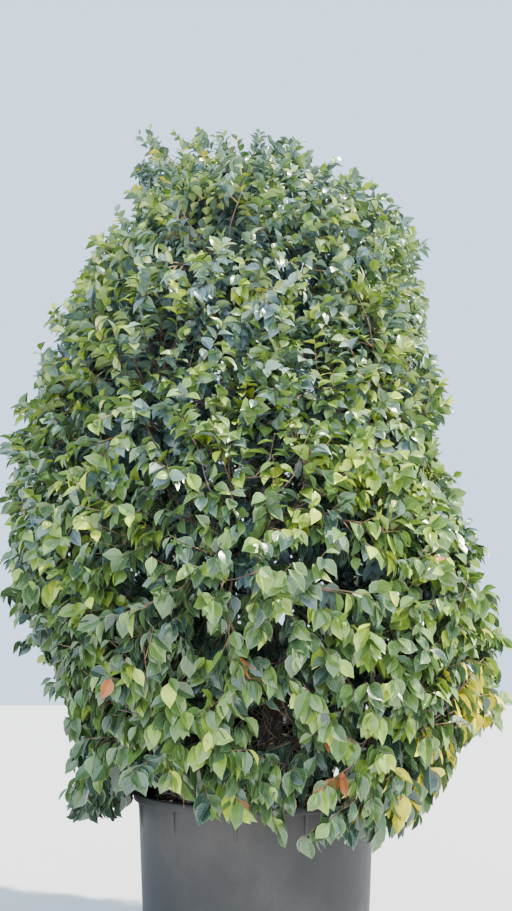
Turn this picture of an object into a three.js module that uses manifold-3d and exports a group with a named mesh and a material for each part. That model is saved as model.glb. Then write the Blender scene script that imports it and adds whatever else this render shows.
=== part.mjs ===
// A potted camellia: a tall, densely leaved shrub in a round nursery tub.
// Millimetres, +Z up, origin at the centre of the tub's flat underside.
// The viewer of the usual view stands at -Y, with +X to the right.

import * as THREE from 'three';
import { mergeVertices } from 'three/addons/utils/BufferGeometryUtils.js';
import Module from 'manifold-3d';

const wasm = await Module();
wasm.setup();

// The tub
const POT_HEIGHT = 850;
const RIM_RADIUS = 548;
const LIP_HEIGHT = 28;
const LIP_REACH = 22;
const LIP_ROUNDING = 8;
const WALL = 14;
const TAPER = THREE.MathUtils.degToRad(5.5);
const FOOT_CHAMFER = 10;
const POT_SIDES = 48;
const RIB_COUNT = 12;
const RIB_FIRST = THREE.MathUtils.degToRad(-98.5);
const RIB_WIDTH = 14;
const RIB_HEIGHT = 92;
const RIB_REACH = 15;
const RIB_FOOT = 2;
const RIB_OVERLAP = 4;
const DRAIN_COUNT = 6;
const DRAIN_RADIUS = 15;
const DRAIN_RING = 330;
const DRAIN_SIDES = 10;

// The bark-covered soil, heaped a little towards the trunk
const SOIL_DROP = 34;
const SOIL_HEAP = 36;
const HEAP_FLAT_RADIUS = 220;

// Every piece keeps this far from the piece that it rests on or grows from
const CLEARANCE = 0.3;

// The trunk: the places that its middle line passes, from just under its flat cut at
// the soil to its tip
const SOIL_TOP = POT_HEIGHT - SOIL_DROP + SOIL_HEAP;
const TRUNK_LINE = [
  new THREE.Vector3(66, 0, SOIL_TOP - 20),
  new THREE.Vector3(76, -6, 1150),
  new THREE.Vector3(44, 12, 1900),
  new THREE.Vector3(-6, -4, 2700),
  new THREE.Vector3(-14, 10, 3300),
  new THREE.Vector3(-8, 0, 3880),
];
const TRUNK_RADIUS = 50;
const TRUNK_TIP_RADIUS = 15;
const ROOT_FLARE = 36;
const ROOT_FLARE_HEIGHT = 110;
const TRUNK_GAP = 0.32;
const TRUNK_SIDES = 9;
const TRUNK_STEPS = 18;

// The crown's reach from the pot's axis at each height, to the left and to the right
const CROWN = [
  { z: 700, left: 860, right: 690 },
  { z: 1200, left: 860, right: 1085 },
  { z: 1650, left: 1205, right: 1170 },
  { z: 2350, left: 1235, right: 970 },
  { z: 3000, left: 1135, right: 970 },
  { z: 3500, left: 930, right: 965 },
  { z: 3800, left: 730, right: 750 },
  { z: 4050, left: 710, right: 440 },
  { z: 4300, left: 750, right: 260 },
  { z: 4600, left: 600, right: 210 },
];

// Its top is a crest from left to right: how steeply it falls off to the front and back
const CREST_SLOPE = 1.15;

// How low the leaves hang outside the tub, by bearing: low at the left and front
// right, and just over the lip in between, where the soil shows
const HANG = [
  { bearing: -180, z: 745 },
  { bearing: -150, z: 770 },
  { bearing: -138, z: 925 },
  { bearing: -112, z: 915 },
  { bearing: -107, z: 835 },
  { bearing: -88, z: 830 },
  { bearing: -79, z: 708 },
  { bearing: -40, z: 712 },
  { bearing: 0, z: 775 },
  { bearing: 90, z: 800 },
  { bearing: 180, z: 745 },
];

// Rings of foliage masses: height of their hearts, how far out the hearts lie as
// a share of the crown's reach, the first one's bearing, and the bough's rise to
// the heart
const TIERS = [
  { name: 'skirt', z: 1130, count: 5, share: 0.66, bearing: -52, rise: 170 },
  { name: 'low', z: 1780, count: 5, share: 0.63, bearing: -92, rise: 440 },
  { name: 'middle', z: 2450, count: 5, share: 0.62, bearing: -50, rise: 440 },
  { name: 'upper', z: 3080, count: 4, share: 0.6, bearing: -100, rise: 430 },
  { name: 'shoulder', z: 3650, count: 3, share: 0.54, bearing: -62, rise: 400 },
];
const TOP_HEART = new THREE.Vector3(-130, 0, 4120);

// The room between masses, the leafless shaft round the trunk, and the dents
// between neighbouring masses
const MASS_MARGIN = 14;
const SHAFT_RADIUS = 185;
const SHAFT_TOP = 3940;
const NOTCH_DEPTH = 95;
const NOTCH_WIDTH = 180;
const POT_MARGIN = 40;

// A gap between the two front masses of the skirt, where the trunk shows
const WINDOW_X = 62;
const WINDOW_Z = 1165;
const WINDOW_RADIUS = 85;

// A mass: its core, its twigs, and the leaves that end each twig's shoots. Each
// leaf stands for a spray
const CORE_SHARE = 0.79;
const CORE_SIDE_SHARE = 0.92;
const CORE_LEAST = 40;
const CORE_INNER_MARGIN = 45;
const TWIGS_PER_MASS = 7;
const SHOOTS_PER_TWIG = 4;
const FACING_SLOPE = 0.25;
const TWIG_CAP = 1.25;
const TWIG_RADIUS = 11;
const TWIG_END = 0.96;
const SHOOT_SPREAD = 0.5;
const LEAF_ROOT = 0.72;
const LEAF_DEPTH = 0.27;
const LEAF_LENGTH = 290;
const LEAF_TRIES = [1, 0.85, 0.7, 0.55];
const LEAF_SWAY = 0.5;
const LEAF_TILT = 0.7;
const LEAF_WIDTH = 0.6;
const LEAF_THICKNESS = 0.045;
const LEAF_FOLD = 0.07;
const LEAF_WIDEST = 0.45;

const BOUGH_RADIUS = 19;
const BOUGH_SHARE = 0.5;
const STEM_SHARE = 0.7;
const STEM_END_SHARE = 0.5;
const BOUGH_COLLAR = 0.6;
const COLLAR_LENGTH = 0.4;
const BOUGH_STAGGER = 0.4;
const BEND_SHARE = 0.4;
const BEND_REACH = 0.62;
const BOUGH_SIDES = 6;
const BOUGH_STEPS = 3;
const STEM_STEPS = 2;
const MARCH_STEP = 8;
const MARCH_END = 2000;
const GOLDEN_ANGLE = Math.PI * (3 - Math.sqrt(5));
const UP = new THREE.Vector3(0, 0, 1);
const DOWN = new THREE.Vector3(0, 0, -1);

const MATERIALS = {
  plastic: new THREE.MeshStandardMaterial({ color: 0x4b4f56, roughness: 0.62, metalness: 0 }),
  soil: new THREE.MeshStandardMaterial({ color: 0x4a3527, roughness: 0.95, metalness: 0 }),
  bark: new THREE.MeshStandardMaterial({ color: 0x6e5a4a, roughness: 0.9, metalness: 0 }),
  leaf: new THREE.MeshStandardMaterial({ color: 0x4f7332, roughness: 0.38, metalness: 0 }),
};

// Solids

function solid(geometry) {
  const bare = geometry.clone();
  bare.deleteAttribute('normal');
  bare.deleteAttribute('uv');
  const merged = mergeVertices(bare, 1e-3);
  const corners = merged.index.array;
  const triangles = [];
  for (let i = 0; i < corners.length; i += 3) {
    const [a, b, c] = [corners[i], corners[i + 1], corners[i + 2]];
    if (a !== b && b !== c && c !== a) {
      triangles.push(a, b, c);
    }
  }
  return new wasm.Manifold(new wasm.Mesh({
    numProp: 3,
    vertProperties: new Float32Array(merged.attributes.position.array),
    triVerts: new Uint32Array(triangles),
  }));
}

// The largest body of a solid, so that no loose scrap is left
function largestBody(shape) {
  return shape.decompose().reduce((best, body) => (body.volume() > best.volume() ? body : best));
}

function namedMesh(name, shape, material) {
  const { vertProperties, triVerts } = shape.getMesh();
  const geometry = new THREE.BufferGeometry();
  geometry.setAttribute('position', new THREE.BufferAttribute(new Float32Array(vertProperties), 3));
  geometry.setIndex(new THREE.BufferAttribute(new Uint32Array(triVerts), 1));
  geometry.computeVertexNormals();
  const mesh = new THREE.Mesh(geometry, material);
  mesh.name = name;
  return mesh;
}

function seededRandom(seed) {
  let state = seed;
  return () => {
    state = (state + 0x6d2b79f5) | 0;
    let mixed = Math.imul(state ^ (state >>> 15), 1 | state);
    mixed = (mixed + Math.imul(mixed ^ (mixed >>> 7), 61 | mixed)) ^ mixed;
    return ((mixed ^ (mixed >>> 14)) >>> 0) / 4294967296;
  };
}

// A tapering limb: a cylinder bent along a curve, with its own radius at each place
function limb(curve, radiusAt, sides, steps, from = 0, to = 1) {
  const geometry = new THREE.CylinderGeometry(1, 1, 1, sides, steps);
  const position = geometry.attributes.position;
  const spread = new THREE.Vector3().subVectors(curve.getPoint(1), curve.getPoint(0));
  const across = new THREE.Vector3(-spread.y, spread.x, 0);
  if (across.length() < 0.3 * spread.length()) {
    across.set(0, 1, 0);
  }
  for (let i = 0; i < position.count; i += 1) {
    const t = from + (0.5 + position.getY(i)) * (to - from);
    const tangent = curve.getTangent(t);
    const up = new THREE.Vector3().crossVectors(tangent, across).normalize();
    const side = new THREE.Vector3().crossVectors(tangent, up).normalize();
    const radius = radiusAt(t);
    const place = curve.getPoint(t);
    place.addScaledVector(side, position.getX(i) * radius);
    place.addScaledVector(up, position.getZ(i) * radius);
    position.setXYZ(i, place.x, place.y, place.z);
  }
  return solid(geometry);
}

// The crown's space

// The two stations of a list that a value of its key lies between, and how far
// between them
function stationsAt(stations, key, value) {
  const clamped = THREE.MathUtils.clamp(value, stations[0][key], stations[stations.length - 1][key]);
  const upper = Math.max(1, stations.findIndex((station) => station[key] >= clamped));
  const [low, high] = [stations[upper - 1], stations[upper]];
  return [low, high, (clamped - low[key]) / (high[key] - low[key])];
}

function crownReach(z, bearing) {
  const [low, high, share] = stationsAt(CROWN, 'z', z);
  const left = THREE.MathUtils.lerp(low.left, high.left, share);
  const right = THREE.MathUtils.lerp(low.right, high.right, share);
  return (left + right) / 2 + ((right - left) / 2) * Math.cos(bearing);
}

function hangAt(bearing) {
  const [low, high, share] = stationsAt(HANG, 'bearing', THREE.MathUtils.radToDeg(bearing));
  return THREE.MathUtils.lerp(low.z, high.z, share);
}

const trunkCurve = new THREE.CatmullRomCurve3(TRUNK_LINE);

// The trunk's middle at a height, straight between the places of its line
function trunkAt(z) {
  const [low, high, share] = stationsAt(TRUNK_LINE, 'z', z);
  return new THREE.Vector3().lerpVectors(low, high, share).setZ(z);
}

function placeMasses() {
  const masses = [];
  TIERS.forEach((tier, level) => {
    for (let i = 0; i < tier.count; i += 1) {
      const bearing = THREE.MathUtils.degToRad(tier.bearing + (360 * i) / tier.count);
      const reach = tier.share * crownReach(tier.z, bearing);
      const stagger = 1 + (BOUGH_STAGGER * ((2 * i) % tier.count)) / tier.count;
      masses.push({
        name: `${tier.name}_${i + 1}`,
        seed: 100 * (level + 1) + i,
        bearing,
        heart: new THREE.Vector3(reach * Math.cos(bearing), reach * Math.sin(bearing), tier.z),
        rise: stagger * tier.rise,
      });
    }
  });
  masses.push({ name: 'top', seed: 900, bearing: 0, heart: TOP_HEART, rise: 0 });
  return masses;
}

const masses = placeMasses();

// How far a place lies inside the space of a mass: negative where it is outside
function roomIn(mass, place) {
  let side = Infinity;
  for (const other of masses) {
    if (other !== mass) {
      const between = new THREE.Vector3().subVectors(other.heart, mass.heart);
      const middle = new THREE.Vector3().addVectors(other.heart, mass.heart).multiplyScalar(0.5);
      const past = new THREE.Vector3().subVectors(place, middle).dot(between) / between.length();
      side = Math.min(side, -past - MASS_MARGIN);
    }
  }
  const radial = Math.hypot(place.x, place.y);
  const bearing = Math.atan2(place.y, place.x);
  const notch = NOTCH_DEPTH * Math.max(0, 1 - side / NOTCH_WIDTH) ** 2;
  const crown = crownReach(place.z, bearing) - notch - radial;
  const top = CROWN[CROWN.length - 1].z - place.z - CREST_SLOPE * Math.abs(place.y);
  const axis = trunkAt(place.z);
  const fromTrunk = Math.hypot(place.x - axis.x, place.y - axis.y);
  const shaft = Math.max(fromTrunk - SHAFT_RADIUS, place.z - SHAFT_TOP);
  const pot = Math.max(place.z - POT_HEIGHT - POT_MARGIN, radial - RIM_RADIUS - POT_MARGIN);
  const hang = place.z - hangAt(bearing);
  const behind = Math.max(0, place.y);
  const opening = Math.hypot(place.x - WINDOW_X, place.z - WINDOW_Z, behind) - WINDOW_RADIUS;
  return Math.min(side, crown, top, shaft, pot, hang, opening);
}

// How far the space of a mass goes from its heart in one direction
function reachOf(mass, direction) {
  let distance = MARCH_STEP;
  const place = new THREE.Vector3();
  for (; distance < MARCH_END; distance += MARCH_STEP) {
    place.copy(mass.heart).addScaledVector(direction, distance);
    if (roomIn(mass, place) < 0) {
      break;
    }
  }
  return distance - MARCH_STEP;
}

// Limbs

function trunkRadius(z) {
  const height = Math.max(0, z - SOIL_TOP);
  const tip = TRUNK_LINE[TRUNK_LINE.length - 1].z;
  const flare = ROOT_FLARE * Math.exp(-height / ROOT_FLARE_HEIGHT);
  return THREE.MathUtils.mapLinear(z, SOIL_TOP, tip, TRUNK_RADIUS, TRUNK_TIP_RADIUS) + flare;
}

// The trunk, grown by a margin, with its foot cut flat just above the soil
function trunkShape(margin) {
  const radiusAt = (t) => trunkRadius(trunkCurve.getPoint(t).z) + margin;
  const whole = limb(trunkCurve, radiusAt, TRUNK_SIDES, TRUNK_STEPS);
  const ground = new THREE.BoxGeometry(RIM_RADIUS, RIM_RADIUS, POT_HEIGHT);
  ground.translate(TRUNK_LINE[0].x, TRUNK_LINE[0].y, SOIL_TOP + CLEARANCE - POT_HEIGHT / 2);
  return whole.subtract(solid(ground));
}

// The line of a bough and its mass's stem: out of the trunk, up and into the heart
function boughLine(mass) {
  if (mass.name === 'top') {
    const tip = trunkCurve.getPoint(1);
    const onward = BEND_SHARE * tip.distanceTo(mass.heart);
    const bend = tip.clone().addScaledVector(trunkCurve.getTangent(1), onward);
    return new THREE.QuadraticBezierCurve3(tip, bend, mass.heart);
  }
  const root = trunkAt(mass.heart.z - mass.rise);
  const out = new THREE.Vector3(Math.cos(mass.bearing), Math.sin(mass.bearing), 0);
  const bend = trunkAt(mass.heart.z - BEND_SHARE * mass.rise);
  bend.addScaledVector(out, BEND_REACH * SHAFT_RADIUS);
  return new THREE.QuadraticBezierCurve3(root, bend, mass.heart);
}

// Where along its line a bough ends, just inside the leafless shaft
function boughEnd(line) {
  let t = 0;
  for (; t < 1; t += 0.01) {
    const place = line.getPoint(t);
    const axis = trunkAt(place.z);
    if (Math.hypot(place.x - axis.x, place.y - axis.y) > SHAFT_RADIUS - 2 * BOUGH_RADIUS) {
      break;
    }
  }
  return t;
}

// A bough's radius at its root: thinner higher up, with the trunk that bears it
function boughGirth(mass) {
  return Math.min(BOUGH_RADIUS, BOUGH_SHARE * trunkRadius(mass.heart.z - mass.rise));
}

function boughRadius(mass, along) {
  const collar = 1 + BOUGH_COLLAR * Math.max(0, 1 - along / COLLAR_LENGTH) ** 2;
  return boughGirth(mass) * THREE.MathUtils.lerp(1, STEM_SHARE, along) * collar;
}

// Masses of leaves

// The direction in which a mass faces: away from the trunk and a little upwards
function facing(mass) {
  if (mass.name === 'top') {
    return UP.clone();
  }
  const axis = trunkAt(mass.heart.z);
  const out = new THREE.Vector3(mass.heart.x - axis.x, mass.heart.y - axis.y, 0);
  out.z = FACING_SLOPE * out.length();
  return out.normalize();
}

// The core: a ball whose every corner is pushed out to a share of the space, fuller
// towards the neighbouring masses than on the side that faces out
function massCore(mass) {
  const geometry = new THREE.IcosahedronGeometry(1, 1);
  const position = geometry.attributes.position;
  const direction = new THREE.Vector3();
  const out = facing(mass);
  for (let i = 0; i < position.count; i += 1) {
    direction.fromBufferAttribute(position, i).normalize();
    const share = THREE.MathUtils.lerp(CORE_SIDE_SHARE, CORE_SHARE, Math.max(0, direction.dot(out)));
    const distance = Math.max(CORE_LEAST, share * reachOf(mass, direction));
    const place = mass.heart.clone().addScaledVector(direction, distance);
    const axis = trunkAt(place.z);
    const fromTrunk = Math.hypot(place.x - axis.x, place.y - axis.y);
    const wanted = SHAFT_RADIUS + CORE_INNER_MARGIN;
    if (place.z < SHAFT_TOP && fromTrunk < wanted) {
      place.x = axis.x + ((place.x - axis.x) * wanted) / fromTrunk;
      place.y = axis.y + ((place.y - axis.y) * wanted) / fromTrunk;
    }
    position.setXYZ(i, place.x, place.y, place.z);
  }
  return solid(geometry);
}

// The directions of a mass's twigs: a golden spiral over the side that faces out
function twigDirections(mass) {
  const out = facing(mass);
  const side = new THREE.Vector3(-Math.sin(mass.bearing), Math.cos(mass.bearing), 0);
  side.addScaledVector(out, -side.dot(out)).normalize();
  const rest = new THREE.Vector3().crossVectors(out, side);
  const random = seededRandom(mass.seed);
  const phase = 2 * Math.PI * random();
  const directions = [];
  for (let i = 0; i < TWIGS_PER_MASS; i += 1) {
    const forward = 1 - ((i + 0.5) / TWIGS_PER_MASS) * TWIG_CAP;
    const round = Math.sqrt(1 - forward * forward);
    const turn = phase + i * GOLDEN_ANGLE;
    const direction = out.clone().multiplyScalar(forward);
    direction.addScaledVector(side, round * Math.cos(turn));
    direction.addScaledVector(rest, round * Math.sin(turn));
    directions.push(direction.normalize());
  }
  return directions;
}

function twig(mass, direction, reach) {
  const geometry = new THREE.ConeGeometry(TWIG_RADIUS, TWIG_END * reach, 3, 1);
  geometry.translate(0, (TWIG_END * reach) / 2, 0);
  const turn = new THREE.Quaternion().setFromUnitVectors(new THREE.Vector3(0, 1, 0), direction);
  geometry.applyQuaternion(turn);
  geometry.translate(mass.heart.x, mass.heart.y, mass.heart.z);
  return solid(geometry);
}

// A leaf: an eight-faced blade with two pointed ends, folded a little on its midrib
function leafGeometry(root, along, face, length) {
  const across = new THREE.Vector3().crossVectors(face, along).normalize();
  const normal = new THREE.Vector3().crossVectors(along, across).normalize();
  const geometry = new THREE.OctahedronGeometry(1, 0);
  const position = geometry.attributes.position;
  for (let i = 0; i < position.count; i += 1) {
    const [x, y, z] = [position.getX(i), position.getY(i), position.getZ(i)];
    const forward = Math.abs(x) > 0.5 ? (x + 1) / 2 : LEAF_WIDEST;
    const place = root.clone().addScaledVector(along, forward * length);
    place.addScaledVector(across, (y * LEAF_WIDTH * length) / 2);
    place.addScaledVector(normal, (z * LEAF_THICKNESS * length) / 2 + Math.abs(y) * LEAF_FOLD * length);
    position.setXYZ(i, place.x, place.y, place.z);
  }
  return geometry;
}

// Whether a leaf keeps to the space of its mass, at its corners and between them
function leafFits(mass, geometry) {
  const position = geometry.attributes.position;
  const corner = new THREE.Vector3();
  const centre = new THREE.Vector3();
  for (let i = 0; i < position.count; i += 1) {
    centre.add(corner.fromBufferAttribute(position, i));
  }
  centre.divideScalar(position.count);
  for (let i = 0; i < position.count; i += 1) {
    corner.fromBufferAttribute(position, i);
    if (roomIn(mass, corner) < 0 || roomIn(mass, corner.lerp(centre, 0.5)) < 0) {
      return false;
    }
  }
  return true;
}

// The shoots that leave a twig round it, each one ended by the longest leaf that
// fits: its root lies in the core, and it droops towards the edge of the space
function leavesOf(mass, twigDirection, random) {
  const leaves = [];
  const side = new THREE.Vector3().crossVectors(twigDirection, UP).normalize();
  const rest = new THREE.Vector3().crossVectors(side, twigDirection);
  const phase = 2 * Math.PI * random();
  for (let i = 0; i < SHOOTS_PER_TWIG; i += 1) {
    const turn = phase + (2 * Math.PI * i) / SHOOTS_PER_TWIG;
    const direction = twigDirection.clone();
    direction.addScaledVector(side, SHOOT_SPREAD * Math.cos(turn));
    direction.addScaledVector(rest, SHOOT_SPREAD * Math.sin(turn));
    direction.normalize();
    const sway = LEAF_SWAY * (2 * random() - 1);
    const reach = reachOf(mass, direction);
    const root = mass.heart.clone().addScaledVector(direction, LEAF_ROOT * reach);
    const fall = DOWN.clone().addScaledVector(side, sway);
    fall.addScaledVector(direction, -fall.dot(direction)).normalize();
    for (const share of LEAF_TRIES) {
      const length = share * LEAF_LENGTH;
      const outward = Math.min(1, (LEAF_DEPTH * reach) / length);
      const along = direction.clone().multiplyScalar(outward);
      along.addScaledVector(fall, Math.sqrt(1 - outward * outward));
      const face = direction.clone().addScaledVector(fall, -LEAF_TILT);
      const geometry = leafGeometry(root, along, face, length);
      if (leafFits(mass, geometry)) {
        leaves.push(solid(geometry));
        break;
      }
    }
  }
  return leaves;
}

// The room of the tub and its lip, which the masses that hang over it are cut clear of
function makeTubRoom() {
  const radius = RIM_RADIUS + POT_MARGIN / 2;
  const height = POT_HEIGHT + POT_MARGIN / 2;
  const cylinder = new THREE.CylinderGeometry(radius, radius, height, POT_SIDES / 2);
  cylinder.rotateX(Math.PI / 2);
  cylinder.translate(0, 0, height / 2);
  return solid(cylinder);
}

const tubRoom = makeTubRoom();

function massOfLeaves(mass) {
  const line = boughLine(mass);
  const start = mass.name === 'top' ? 0 : boughEnd(line);
  const gap = CLEARANCE / line.getLength();
  const parts = [massCore(mass)];
  const girth = mass.name === 'top' ? TRUNK_TIP_RADIUS : STEM_SHARE * boughGirth(mass);
  const stemRadius = (t) => THREE.MathUtils.mapLinear(t, start, 1, girth, STEM_END_SHARE * girth);
  parts.push(limb(line, stemRadius, BOUGH_SIDES, STEM_STEPS, start + gap, 1));
  const random = seededRandom(mass.seed + 50);
  for (const direction of twigDirections(mass)) {
    const reach = reachOf(mass, direction);
    parts.push(twig(mass, direction, reach));
    parts.push(...leavesOf(mass, direction, random));
  }
  return largestBody(wasm.Manifold.union(parts).subtract(tubRoom));
}

// The tub: a lathed wall and floor, a rolled lip with ribs under it, drain holes
function potShape() {
  const lipFoot = POT_HEIGHT - LIP_HEIGHT;
  const wallTop = RIM_RADIUS - LIP_REACH;
  const outerAt = (z) => wallTop - (lipFoot - z) * Math.tan(TAPER);
  const profile = [
    [0, 0],
    [outerAt(0) - FOOT_CHAMFER, 0],
    [outerAt(FOOT_CHAMFER), FOOT_CHAMFER],
    [outerAt(lipFoot), lipFoot],
    [RIM_RADIUS, lipFoot],
    [RIM_RADIUS, POT_HEIGHT - LIP_ROUNDING],
    [RIM_RADIUS - LIP_ROUNDING, POT_HEIGHT],
    [outerAt(POT_HEIGHT) - WALL, POT_HEIGHT],
    [outerAt(WALL) - WALL, WALL],
    [0, WALL],
  ].map(([radius, height]) => new THREE.Vector2(radius, height));
  const lathe = new THREE.LatheGeometry(profile, POT_SIDES);
  lathe.rotateX(Math.PI / 2);
  let pot = solid(lathe);

  for (let i = 0; i < RIB_COUNT; i += 1) {
    const bearing = RIB_FIRST + (2 * Math.PI * i) / RIB_COUNT;
    const outline = new THREE.Shape([
      new THREE.Vector2(outerAt(lipFoot - RIB_HEIGHT) - WALL / 2, lipFoot - RIB_HEIGHT),
      new THREE.Vector2(outerAt(lipFoot - RIB_HEIGHT) + RIB_FOOT, lipFoot - RIB_HEIGHT),
      new THREE.Vector2(wallTop + RIB_REACH, lipFoot + RIB_OVERLAP),
      new THREE.Vector2(wallTop - WALL / 2, lipFoot + RIB_OVERLAP),
    ]);
    const rib = new THREE.ExtrudeGeometry(outline, { depth: RIB_WIDTH, bevelEnabled: false });
    rib.translate(0, 0, -RIB_WIDTH / 2);
    rib.rotateX(Math.PI / 2);
    rib.rotateZ(bearing);
    pot = pot.add(solid(rib));
  }
  for (let i = 0; i < DRAIN_COUNT; i += 1) {
    const bearing = (2 * Math.PI * i) / DRAIN_COUNT;
    const drain = new THREE.CylinderGeometry(DRAIN_RADIUS, DRAIN_RADIUS, 4 * WALL, DRAIN_SIDES);
    drain.rotateX(Math.PI / 2);
    drain.translate(DRAIN_RING * Math.cos(bearing), DRAIN_RING * Math.sin(bearing), 0);
    pot = pot.subtract(solid(drain));
  }
  return pot;
}

// The soil fills the tub to just under its lip
function soilShape() {
  const edgeHeight = POT_HEIGHT - SOIL_DROP;
  const innerAt = (z) => RIM_RADIUS - LIP_REACH - WALL - (POT_HEIGHT - LIP_HEIGHT - z) * Math.tan(TAPER);
  const shrink = CLEARANCE / Math.cos(Math.PI / POT_SIDES);
  const profile = [
    [0, WALL + CLEARANCE],
    [innerAt(WALL + CLEARANCE) - 2 * shrink, WALL + CLEARANCE],
    [innerAt(edgeHeight) - 2 * shrink, edgeHeight],
    [HEAP_FLAT_RADIUS, SOIL_TOP],
    [0, SOIL_TOP],
  ].map(([radius, height]) => new THREE.Vector2(radius, height));
  const lathe = new THREE.LatheGeometry(profile, POT_SIDES);
  lathe.rotateX(Math.PI / 2);
  return solid(lathe);
}

const camellia = new THREE.Group();
camellia.add(namedMesh('pot', potShape(), MATERIALS.plastic));
camellia.add(namedMesh('soil', soilShape(), MATERIALS.soil));
camellia.add(namedMesh('trunk', trunkShape(0), MATERIALS.bark));

const trunkCutter = trunkShape(TRUNK_GAP);
for (const mass of masses) {
  if (mass.name !== 'top') {
    const line = boughLine(mass);
    const end = boughEnd(line);
    const radiusAt = (t) => boughRadius(mass, t / end);
    const bough = limb(line, radiusAt, BOUGH_SIDES, BOUGH_STEPS, 0, end);
    camellia.add(namedMesh(`bough_${mass.name}`, largestBody(bough.subtract(trunkCutter)), MATERIALS.bark));
  }
  camellia.add(namedMesh(`foliage_${mass.name}`, massOfLeaves(mass), MATERIALS.leaf));
}

export default camellia;
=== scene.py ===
# A potted camellia: a tall, densely leaved shrub in a round nursery tub.
# Metres, +Z up. The camera stands at -Y, with +X to its right.

import math

import bpy
import numpy as np
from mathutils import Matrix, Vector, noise


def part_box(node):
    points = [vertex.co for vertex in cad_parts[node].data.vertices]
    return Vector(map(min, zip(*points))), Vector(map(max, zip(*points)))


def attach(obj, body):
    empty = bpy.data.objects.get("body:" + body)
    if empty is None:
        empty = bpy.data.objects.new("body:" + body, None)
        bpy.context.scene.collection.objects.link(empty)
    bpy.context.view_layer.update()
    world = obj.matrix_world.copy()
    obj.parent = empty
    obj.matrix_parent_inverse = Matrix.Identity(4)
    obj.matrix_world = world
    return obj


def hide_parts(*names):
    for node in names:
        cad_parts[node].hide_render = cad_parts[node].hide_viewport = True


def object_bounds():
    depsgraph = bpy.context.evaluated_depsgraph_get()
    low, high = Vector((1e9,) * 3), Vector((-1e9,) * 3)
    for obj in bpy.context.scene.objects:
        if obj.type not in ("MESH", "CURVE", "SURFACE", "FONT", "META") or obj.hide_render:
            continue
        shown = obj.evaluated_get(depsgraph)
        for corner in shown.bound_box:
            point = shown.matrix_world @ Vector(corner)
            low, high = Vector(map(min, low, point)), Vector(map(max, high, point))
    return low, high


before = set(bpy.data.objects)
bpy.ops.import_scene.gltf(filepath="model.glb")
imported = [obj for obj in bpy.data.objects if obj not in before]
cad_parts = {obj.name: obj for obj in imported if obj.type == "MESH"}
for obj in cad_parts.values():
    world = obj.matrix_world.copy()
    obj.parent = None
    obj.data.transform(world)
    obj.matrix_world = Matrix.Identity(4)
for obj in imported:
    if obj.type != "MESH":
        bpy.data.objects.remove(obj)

cad_low, cad_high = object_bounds()
_, pot_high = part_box("pot")
soil_low, soil_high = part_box("soil")

# The box that the plant and its tub fill, and how far leaves may stand out of it, as a
# share of each side and in metres
BOX_LOW, BOX_HIGH = np.array(cad_low), np.array(cad_high)
BOX_MARGIN = 0.028
BOX_SLACK = 0.008

UP = np.array([0.0, 0.0, 1.0])
EAST = np.array([1.0, 0.0, 0.0])
GOLDEN_ANGLE = math.pi * (3 - math.sqrt(5))

# The tub, by the source's sizes
POT_HEIGHT = pot_high.z
RIM_RADIUS = pot_high.x
LIP_HEIGHT = 0.028
LIP_REACH = 0.022
WALL = 0.014
TAPER = math.radians(5.5)
RIB_COUNT = 12
RIB_FIRST = math.radians(-98.5)
RIB_WIDTH = 0.014
RIB_HEIGHT = 0.092
RIB_REACH = 0.015
DRAIN_COUNT = 6
DRAIN_RADIUS = 0.015
DRAIN_RING = 0.33

# The soil, heaped towards the trunk
SOIL_TOP = soil_high.z
SOIL_HEAP = 0.036
HEAP_FLAT_RADIUS = 0.22

# The trunk's middle line, by height
TRUNK_LINE = np.array([
    (0.066, 0.000, SOIL_TOP - 0.020),
    (0.076, -0.006, 1.150),
    (0.044, 0.012, 1.900),
    (-0.006, -0.004, 2.700),
    (-0.014, 0.010, 3.300),
    (-0.008, 0.000, 3.880),
])
TRUNK_RADIUS = 0.050
TRUNK_TIP_RADIUS = 0.015
ROOT_FLARE = 0.036
ROOT_FLARE_HEIGHT = 0.110

# The crown's reach from the pot's axis: height, to the left, to the right
CROWN = np.array([
    (0.700, 0.860, 0.690),
    (1.200, 0.860, 1.085),
    (1.650, 1.205, 1.170),
    (2.350, 1.235, 0.970),
    (3.000, 1.135, 0.970),
    (3.500, 0.930, 0.965),
    (3.800, 0.730, 0.750),
    (4.050, 0.710, 0.440),
    (4.300, 0.750, 0.260),
    (4.600, 0.600, 0.210),
])

# Its top is a crest from left to right: how steeply it falls off to the front and back
CREST_SLOPE = 1.15

# How low the leaves hang outside the tub: bearing in degrees, height
HANG = np.array([
    (-180, 0.745),
    (-150, 0.770),
    (-138, 0.925),
    (-112, 0.915),
    (-107, 0.835),
    (-88, 0.830),
    (-79, 0.708),
    (-40, 0.712),
    (0, 0.775),
    (90, 0.800),
    (180, 0.745),
])

# Rings of foliage masses: name, height of the hearts, count, share of the crown's
# reach, first bearing, rise of the bough
TIERS = [
    ("skirt", 1.13, 5, 0.66, -52, 0.17),
    ("low", 1.78, 5, 0.63, -92, 0.44),
    ("middle", 2.45, 5, 0.62, -50, 0.44),
    ("upper", 3.08, 4, 0.60, -100, 0.43),
    ("shoulder", 3.65, 3, 0.54, -62, 0.40),
]
TOP_HEART = np.array([-0.130, 0.0, 4.12])

# The room of a mass
SIDE_OVERLAP = 0.105
SHAFT_RADIUS = 0.185
SHAFT_TOP = 3.94
NOTCH_DEPTH = 0.030
NOTCH_WIDTH = 0.18
POT_MARGIN = 0.04
WINDOW_X = 0.062
WINDOW_Z = 1.165
WINDOW_RADIUS = 0.085

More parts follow.
